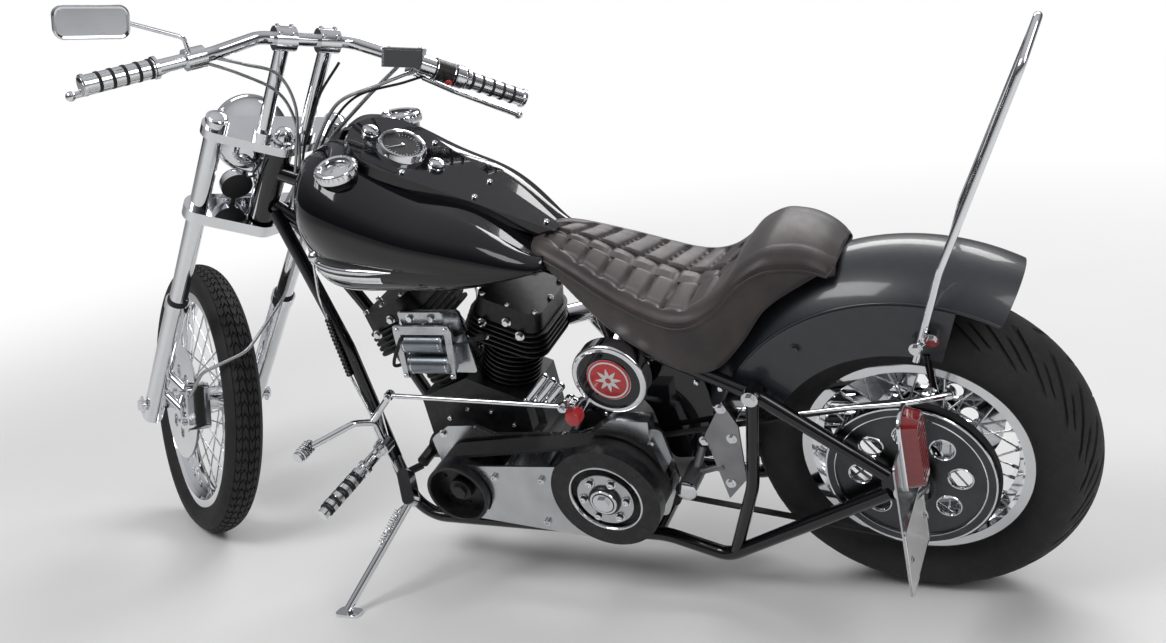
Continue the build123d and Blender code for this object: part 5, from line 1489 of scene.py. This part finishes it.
def lamp_and_horn_rims():
    """The headlamp's rim and screw, and the horn's rim and grille."""
    rim = Shape()
    rim.lathe(LAMP_RIM, LAMP, 64)
    rim.cap_screw(4, 4, LAMP @ Matrix.Translation((0, -80, 30)) @ SIDE_PLANE)
    rim.lathe(HORN_RIM, Matrix.Translation((0, HORN_Y, HORN_Z)) @ Matrix.Rotation(pi / 2, 4, "Y"), 48)
    for n in range(HORN_BARS):
        above = HORN_BAR_PITCH * (n - HORN_BARS // 2)
        reach, z = sqrt(HORN_MOUTH**2 - above**2), HORN_Z + above
        rim.pipe([(HORN_FACE, HORN_Y - reach, z), (HORN_FACE, HORN_Y + reach, z)], 1.1, 6)
    piece("lamp_and_horn_rims", rim, "steering", [CHROME], 40)


# Cables on the steering: two from the clutch side and one from the right, in steel braid, and wires
CABLE_STEPS = 12
BAR_CABLES = (
    ((-70, 214, 1146), (-62, 150, 1120), (-34, 60, 1062), (-34, 14, 1010), (-36, -20, 930),
     (-40, -36, 840), (-34, -30, 760)),
    ((-64, 206, 1156), (-58, 140, 1138), (-22, 55, 1090), (-30, 6, 1020), (-46, -12, 930),
     (-46, -30, 820), (-30, -44, 740)),
    ((-58, -214, 1140), (-60, -140, 1100), (-40, -80, 1040), (-44, -58, 960), (-48, -52, 860),
     (-36, -48, 770)),
)
BAR_CABLE_RADII = (3.2, 3.2, 3.6)
BAR_WIRES = (
    ((-62, -258, 1142), (-70, -190, 1118), (-46, -110, 1060), (-50, -70, 980), (-54, -60, 880),
     (-44, -56, 800)),
    ((-30, -60, 1130), (-26, -40, 1040), (-34, -34, 940), (-44, -40, 850), (-36, -50, 790)),
    ((70, 30, 733), (40, 20, 770), (10, 38, 800), (-10, 40, 850)),
)
BAR_WIRE_RADIUS = 2.8


def bar_cables_and_wires():
    """Cables in steel braid and black wires, from the handlebar and the horn to the frame's neck."""
    cables, wires = Shape(), Shape()
    for path, radius in zip(BAR_CABLES, BAR_CABLE_RADII):
        cables.pipe(curve_through(path, CABLE_STEPS), radius, 10)
    for path in BAR_WIRES:
        wires.pipe(curve_through(path, CABLE_STEPS), BAR_WIRE_RADIUS, 8)
    piece("bar_cables", cables, "steering", [FINISHES["hose"]], 60)
    piece("bar_wires", wires, "steering", [RUBBER], 60)


# Wheels: each one's rim and hub radius, hub width, and its disc's place and side
SPOKES_A_ROW = 10
SPOKE_LEAN = 52
DISC_BUTTONS, DISC_BUTTON_RADIUS = 8, 58
WHEELS = {
    "front_wheel": (FRONT_BEAD, 30, 120, 60, 1),
    "rear_wheel": (REAR_BEAD, 42, 168, -87, -1),
}


def wheel_fittings(wheel):
    """Spoke nipples and elbows, the valve stem and the disc's buttons of a wheel."""
    rim_radius, hub_radius, hub_width, disc_y, disc_side = WHEELS[wheel]
    fittings = Shape()
    for hand in HANDS:
        for way in HANDS:
            start = Vector((hub_radius + 6, 0, hand * (hub_width / 2 - 14)))
            stop = Vector(wheel_point(way * radians(SPOKE_LEAN), rim_radius - 20, hand * 6))
            along = (stop - start).normalized()
            nipple, elbow = aim(stop - along * 15, along), aim(start, along)
            first = (0 if way > 0 else 9) + (hand + 1) * 9
            for n in range(SPOKES_A_ROW):
                spin = Matrix.Rotation(radians(first + 360 * n / SPOKES_A_ROW), 4, "Z")
                fittings.dome([(0, 0), (2.9, 0), (3.3, 3), (3.3, 12), (0, 12)], spin @ nipple, 8)
                fittings.dome([(0, -4), (3.4, -4), (3.4, 4), (0, 4)], spin @ elbow, 8)
    stem = Matrix.Rotation(radians(24), 4, "Z") @ aim((rim_radius - 44, 0, 0), FORWARD)
    fittings.dome([(0, 0), (3, 0), (3, 8), (2.4, 9), (2.4, 24), (0, 24)], stem, 12)
    outward = Matrix.Identity(4) if disc_side > 0 else Matrix.Rotation(pi, 4, "X")
    for spot in around(Matrix.Identity(4), DISC_BUTTON_RADIUS, DISC_BUTTONS, disc_y + 3 * disc_side, 22.5):
        fittings.cap_screw(6, 5, spot @ outward)
    piece(f"{wheel}_fittings", fittings, wheel, [CHROME], 36)


# Drive pulley: eight lightening holes and five bolts. Heights are from the wheel's middle plane.
PULLEY_HOLES, PULLEY_HOLE_CIRCLE = 8, 91
PULLEY_BOLTS, PULLEY_BOLT_CIRCLE = 5, 30
HOLE_RIM = ((20.4, 112), (20.6, 115.6), (21.6, 116.8), (23.6, 116.2), (24.4, 114.8))


def pulley_trim():
    """Rolled rims round the drive pulley's holes and edges, and its bolts."""
    trim = Shape()
    axle = Matrix.Identity(4)
    for hole in around(axle, PULLEY_HOLE_CIRCLE, PULLEY_HOLES):
        trim.lathe(HOLE_RIM, hole, 32)
    for bolt in around(axle, PULLEY_BOLT_CIRCLE, PULLEY_BOLTS, 114.6, 20):
        trim.hex_bolt(7, 6, bolt)
    trim.lathe([(152.6, 118.6), (153.2, 120), (154.4, 120.4), (156.4, 120), (157.2, 118.4)], axle, 96)
    trim.lathe([(136.6, 113.6), (137.2, 119.4), (138.2, 120.2), (139.6, 119.6), (140, 118.6)], axle, 96)
    piece("pulley_trim", trim, "rear_wheel", [CHROME], 36)


# Right side: the air cleaner's cover and the exhausts' clamps
EXHAUST_Y = -178
BEND_ENDS = (((1112, 330), (960, 232)), ((660, 400), (520, 300)))
STRAIGHT_CLAMPS = ((200, 232), (500, 232), (800, 232), (150, 300), (380, 300))


def right_side_trim():
    """The ring and screws of the air cleaner, and a clamp at each joint of the exhausts."""
    trim = Shape()
    cleaner = aim((CRANK_X - 10, -188, 540), RIGHT)
    trim.lathe([(52, 0), (53, 3.4), (57, 3.4), (58, 0)], cleaner, 56)
    for screw in around(cleaner, 34, 3, 1.6, 90):
        trim.cap_screw(6, 4, screw)
    for (x0, z0), (x1, z1) in BEND_ENDS:
        start, end = Vector((x0, EXHAUST_Y, z0)), Vector((x1, EXHAUST_Y, z1))
        trim.lathe([(21.9, -9), (24, -8), (24, 8), (21.9, 9)], aim(start.lerp(end, 0.5), end - start), 36)
    for x, z in STRAIGHT_CLAMPS:
        trim.lathe([(21.9, -5), (23.6, -4), (23.6, 4), (21.9, 5)], aim((x, EXHAUST_Y, z), FORWARD), 36)
    piece("right_side_trim", trim, "chassis", [CHROME], 36)


# Brake calipers: two bolts and a cover on each
CALIPER_TURN, CALIPER_RADIUS, CALIPER_BOLT_PITCH = radians(134), 140, 76
REAR_CALIPER, REAR_BOLT_SHIFT = (88, 413), 26


def front_caliper_bolts():
    """The front caliper's bolts and cover, at its turn about the front axle."""
    brakes = Shape()
    out, along = (cos(CALIPER_TURN), sin(CALIPER_TURN)), (-sin(CALIPER_TURN), cos(CALIPER_TURN))
    x, z = FORK_OFFSET + CALIPER_RADIUS * out[0], CALIPER_RADIUS * out[1]
    for shift in (CALIPER_BOLT_PITCH / 2, -CALIPER_BOLT_PITCH / 2):
        brakes.cap_screw(8, 6, aim((x + shift * along[0], 93.5, z + shift * along[1]), LEFT))
    brakes.dome([(0, 0), (15, 0), (15, 3), (11, 6), (0, 6.5)], aim((x, 87.4, z), LEFT), 28)
    piece("front_caliper_bolts", brakes, "steering", [POLISHED], 36)


def rear_caliper_bolts():
    """The rear caliper's bolts and cover."""
    brakes = Shape()
    x, z = REAR_CALIPER
    for shift in (REAR_BOLT_SHIFT, -REAR_BOLT_SHIFT):
        brakes.cap_screw(8, 6, aim((x - shift, -121.6, z + shift), RIGHT))
    brakes.dome([(0, 0), (11, 0), (11, 3), (7, 5), (0, 5.5)], aim((74, -127.6, 399), RIGHT), 24)
    piece("rear_caliper_bolts", brakes, "chassis", [CHROME], 36)


front_tyre_tread()
rear_tyre_tread()
seat_cover()
seat_piping()
tank_caps()
tank_badges()
console_dial()
round_cover_face()
drive_hubs()
case_screws()
head_bolts()
spark_plugs_and_leads()
coil_fittings()
dull_coil_drums()
oil_tubes()
wound_cable()
fender_rod()
fender_bead()
frame_bolts()
tail_lamp()
plate_sheet()
peg_rubbers()
control_ends()
stand_spring()
grip_bands_and_fittings()
switch_buttons()
mirror()
brake_reservoir_lid()
fork_bolts()
fork_seals()
headlamp_lens()
lamp_and_horn_rims()
bar_cables_and_wires()
for wheel in WHEELS:
    wheel_fittings(wheel)
pulley_trim()
right_side_trim()
front_caliper_bolts()
rear_caliper_bolts()

# Stage: a plain pale floor that fades into a white backdrop, a soft world and wide lamps
FLOOR_REACH = 60
FADE_START, FADE_END = 1.7, 4.2
WHITE = (1, 1, 1, 1)
# The sky's brightness by height: dark along the horizon, pale overhead
SKY = ((0.0, 0.30), (0.44, 0.26), (0.5, 0.05), (0.55, 0.09), (0.66, 0.24), (0.82, 0.72), (1.0, 1.0))
SKY_STRENGTH = 0.62
SKY_BLUE = 1.04


def stage_floor():
    """The floor, which keeps the bike's shadow and turns white away from it."""
    made = Finish("stage_floor")
    made.feed("Base Color", made.between(made.noise(3, 3), (0.70, 0.70, 0.69), (0.73, 0.73, 0.72)))
    made.feed("Roughness", made.between(made.noise(40, 3), 0.6, 0.8))
    away = made.node("ShaderNodeVectorMath", {"operation": "LENGTH"}, {0: made.place}, "Value")
    fade = {"Value": away, "From Min": FADE_START, "From Max": FADE_END}
    faded = made.node("ShaderNodeMapRange", {"interpolation_type": "SMOOTHSTEP"}, fade)
    seen = made.node("ShaderNodeLightPath", {}, {}, "Is Camera Ray")
    glow = made.node("ShaderNodeEmission", {}, {"Color": WHITE, "Strength": 1.0})
    lit = Value(made, made.shader.outputs[0])
    shown = made.node("ShaderNodeMixShader", {}, {0: faded * seen, 1: lit, 2: glow})
    made.tree.links.new(shown.socket, made.tree.nodes["Material Output"].inputs["Surface"])
    mesh = bpy.data.meshes.new("stage_floor")
    build = bmesh.new()
    corners = [(-1, -1), (1, -1), (1, 1), (-1, 1)]
    build.faces.new([build.verts.new((x * FLOOR_REACH, y * FLOOR_REACH, 0)) for x, y in corners])
    build.to_mesh(mesh)
    build.free()
    mesh.materials.append(made.material)
    floor = bpy.data.objects.new("stage_floor", mesh)
    bpy.context.scene.collection.objects.link(floor)


def area_light(name, place, target, size, power):
    """A wide soft lamp aimed at a place."""
    data = bpy.data.lights.new(name, "AREA")
    data.shape = "RECTANGLE"
    data.size, data.size_y = size
    data.energy = power
    lamp = bpy.data.objects.new(name, data)
    lamp.location = place
    lamp.rotation_mode = "QUATERNION"
    lamp.rotation_quaternion = (Vector(target) - Vector(place)).to_track_quat("-Z", "Y")
    bpy.context.scene.collection.objects.link(lamp)


def studio_world():
    """A sky graded by height, seen as plain white by the camera alone."""
    world = bpy.data.worlds.new("studio")
    bpy.context.scene.world = world
    world.use_nodes = True
    world.node_tree.nodes.clear()
    sky = Tree(world.node_tree)
    direction = sky.node("ShaderNodeTexCoord", {}, {}, "Generated")
    height = sky.node("ShaderNodeSeparateXYZ", {}, {0: direction}, "Z")
    shade = sky.ramp(height * 0.5 + 0.5, *[(at, (level, level, SKY_BLUE * level)) for at, level in SKY])
    soft = sky.node("ShaderNodeBackground", {}, {"Color": shade, "Strength": SKY_STRENGTH})
    plain = sky.node("ShaderNodeBackground", {}, {"Color": WHITE})
    seen = sky.node("ShaderNodeLightPath", {}, {}, "Is Camera Ray")
    shown = sky.node("ShaderNodeMixShader", {}, {0: seen, 1: soft, 2: plain})
    sky.node("ShaderNodeOutputWorld", {}, {"Surface": shown})


stage_floor()
area_light("key_lamp", (1.4, 2.6, 4.2), (0, 0, 0.4), (2.4, 1.6), 105)
area_light("back_lamp", (-0.5, -3.6, 3.6), (0, 0, 0.6), (4.0, 1.2), 120)
area_light("rear_lamp", (-3.8, 1.2, 2.6), (-0.3, 0, 0.5), (1.4, 2.4), 45)
studio_world()

# Camera, at the photograph's viewing angle
CAMERA_PLACE = (-1.3811, 2.0808, 1.3451)
CAMERA_YAW, CAMERA_PITCH, CAMERA_ROLL = radians(27.856), radians(-17.495), radians(8.949)
FOCAL_PIXELS = 1248
IMAGE_WIDTH = 1166
SENSOR_WIDTH = 36
camera_data = bpy.data.cameras.new("camera")
camera_data.sensor_width = SENSOR_WIDTH
camera_data.lens = SENSOR_WIDTH * FOCAL_PIXELS / IMAGE_WIDTH
camera_data.clip_end = FLOOR_REACH
camera = bpy.data.objects.new("camera", camera_data)
camera.matrix_world = (
    Matrix.Translation(CAMERA_PLACE)
    @ Matrix.Rotation(CAMERA_YAW + pi, 4, "Z")
    @ Matrix.Rotation(pi / 2 + CAMERA_PITCH, 4, "X")
    @ Matrix.Rotation(-CAMERA_ROLL, 4, "Z")
)
bpy.context.scene.collection.objects.link(camera)
bpy.context.scene.camera = camera
bpy.context.scene.view_settings.view_transform = "Standard"
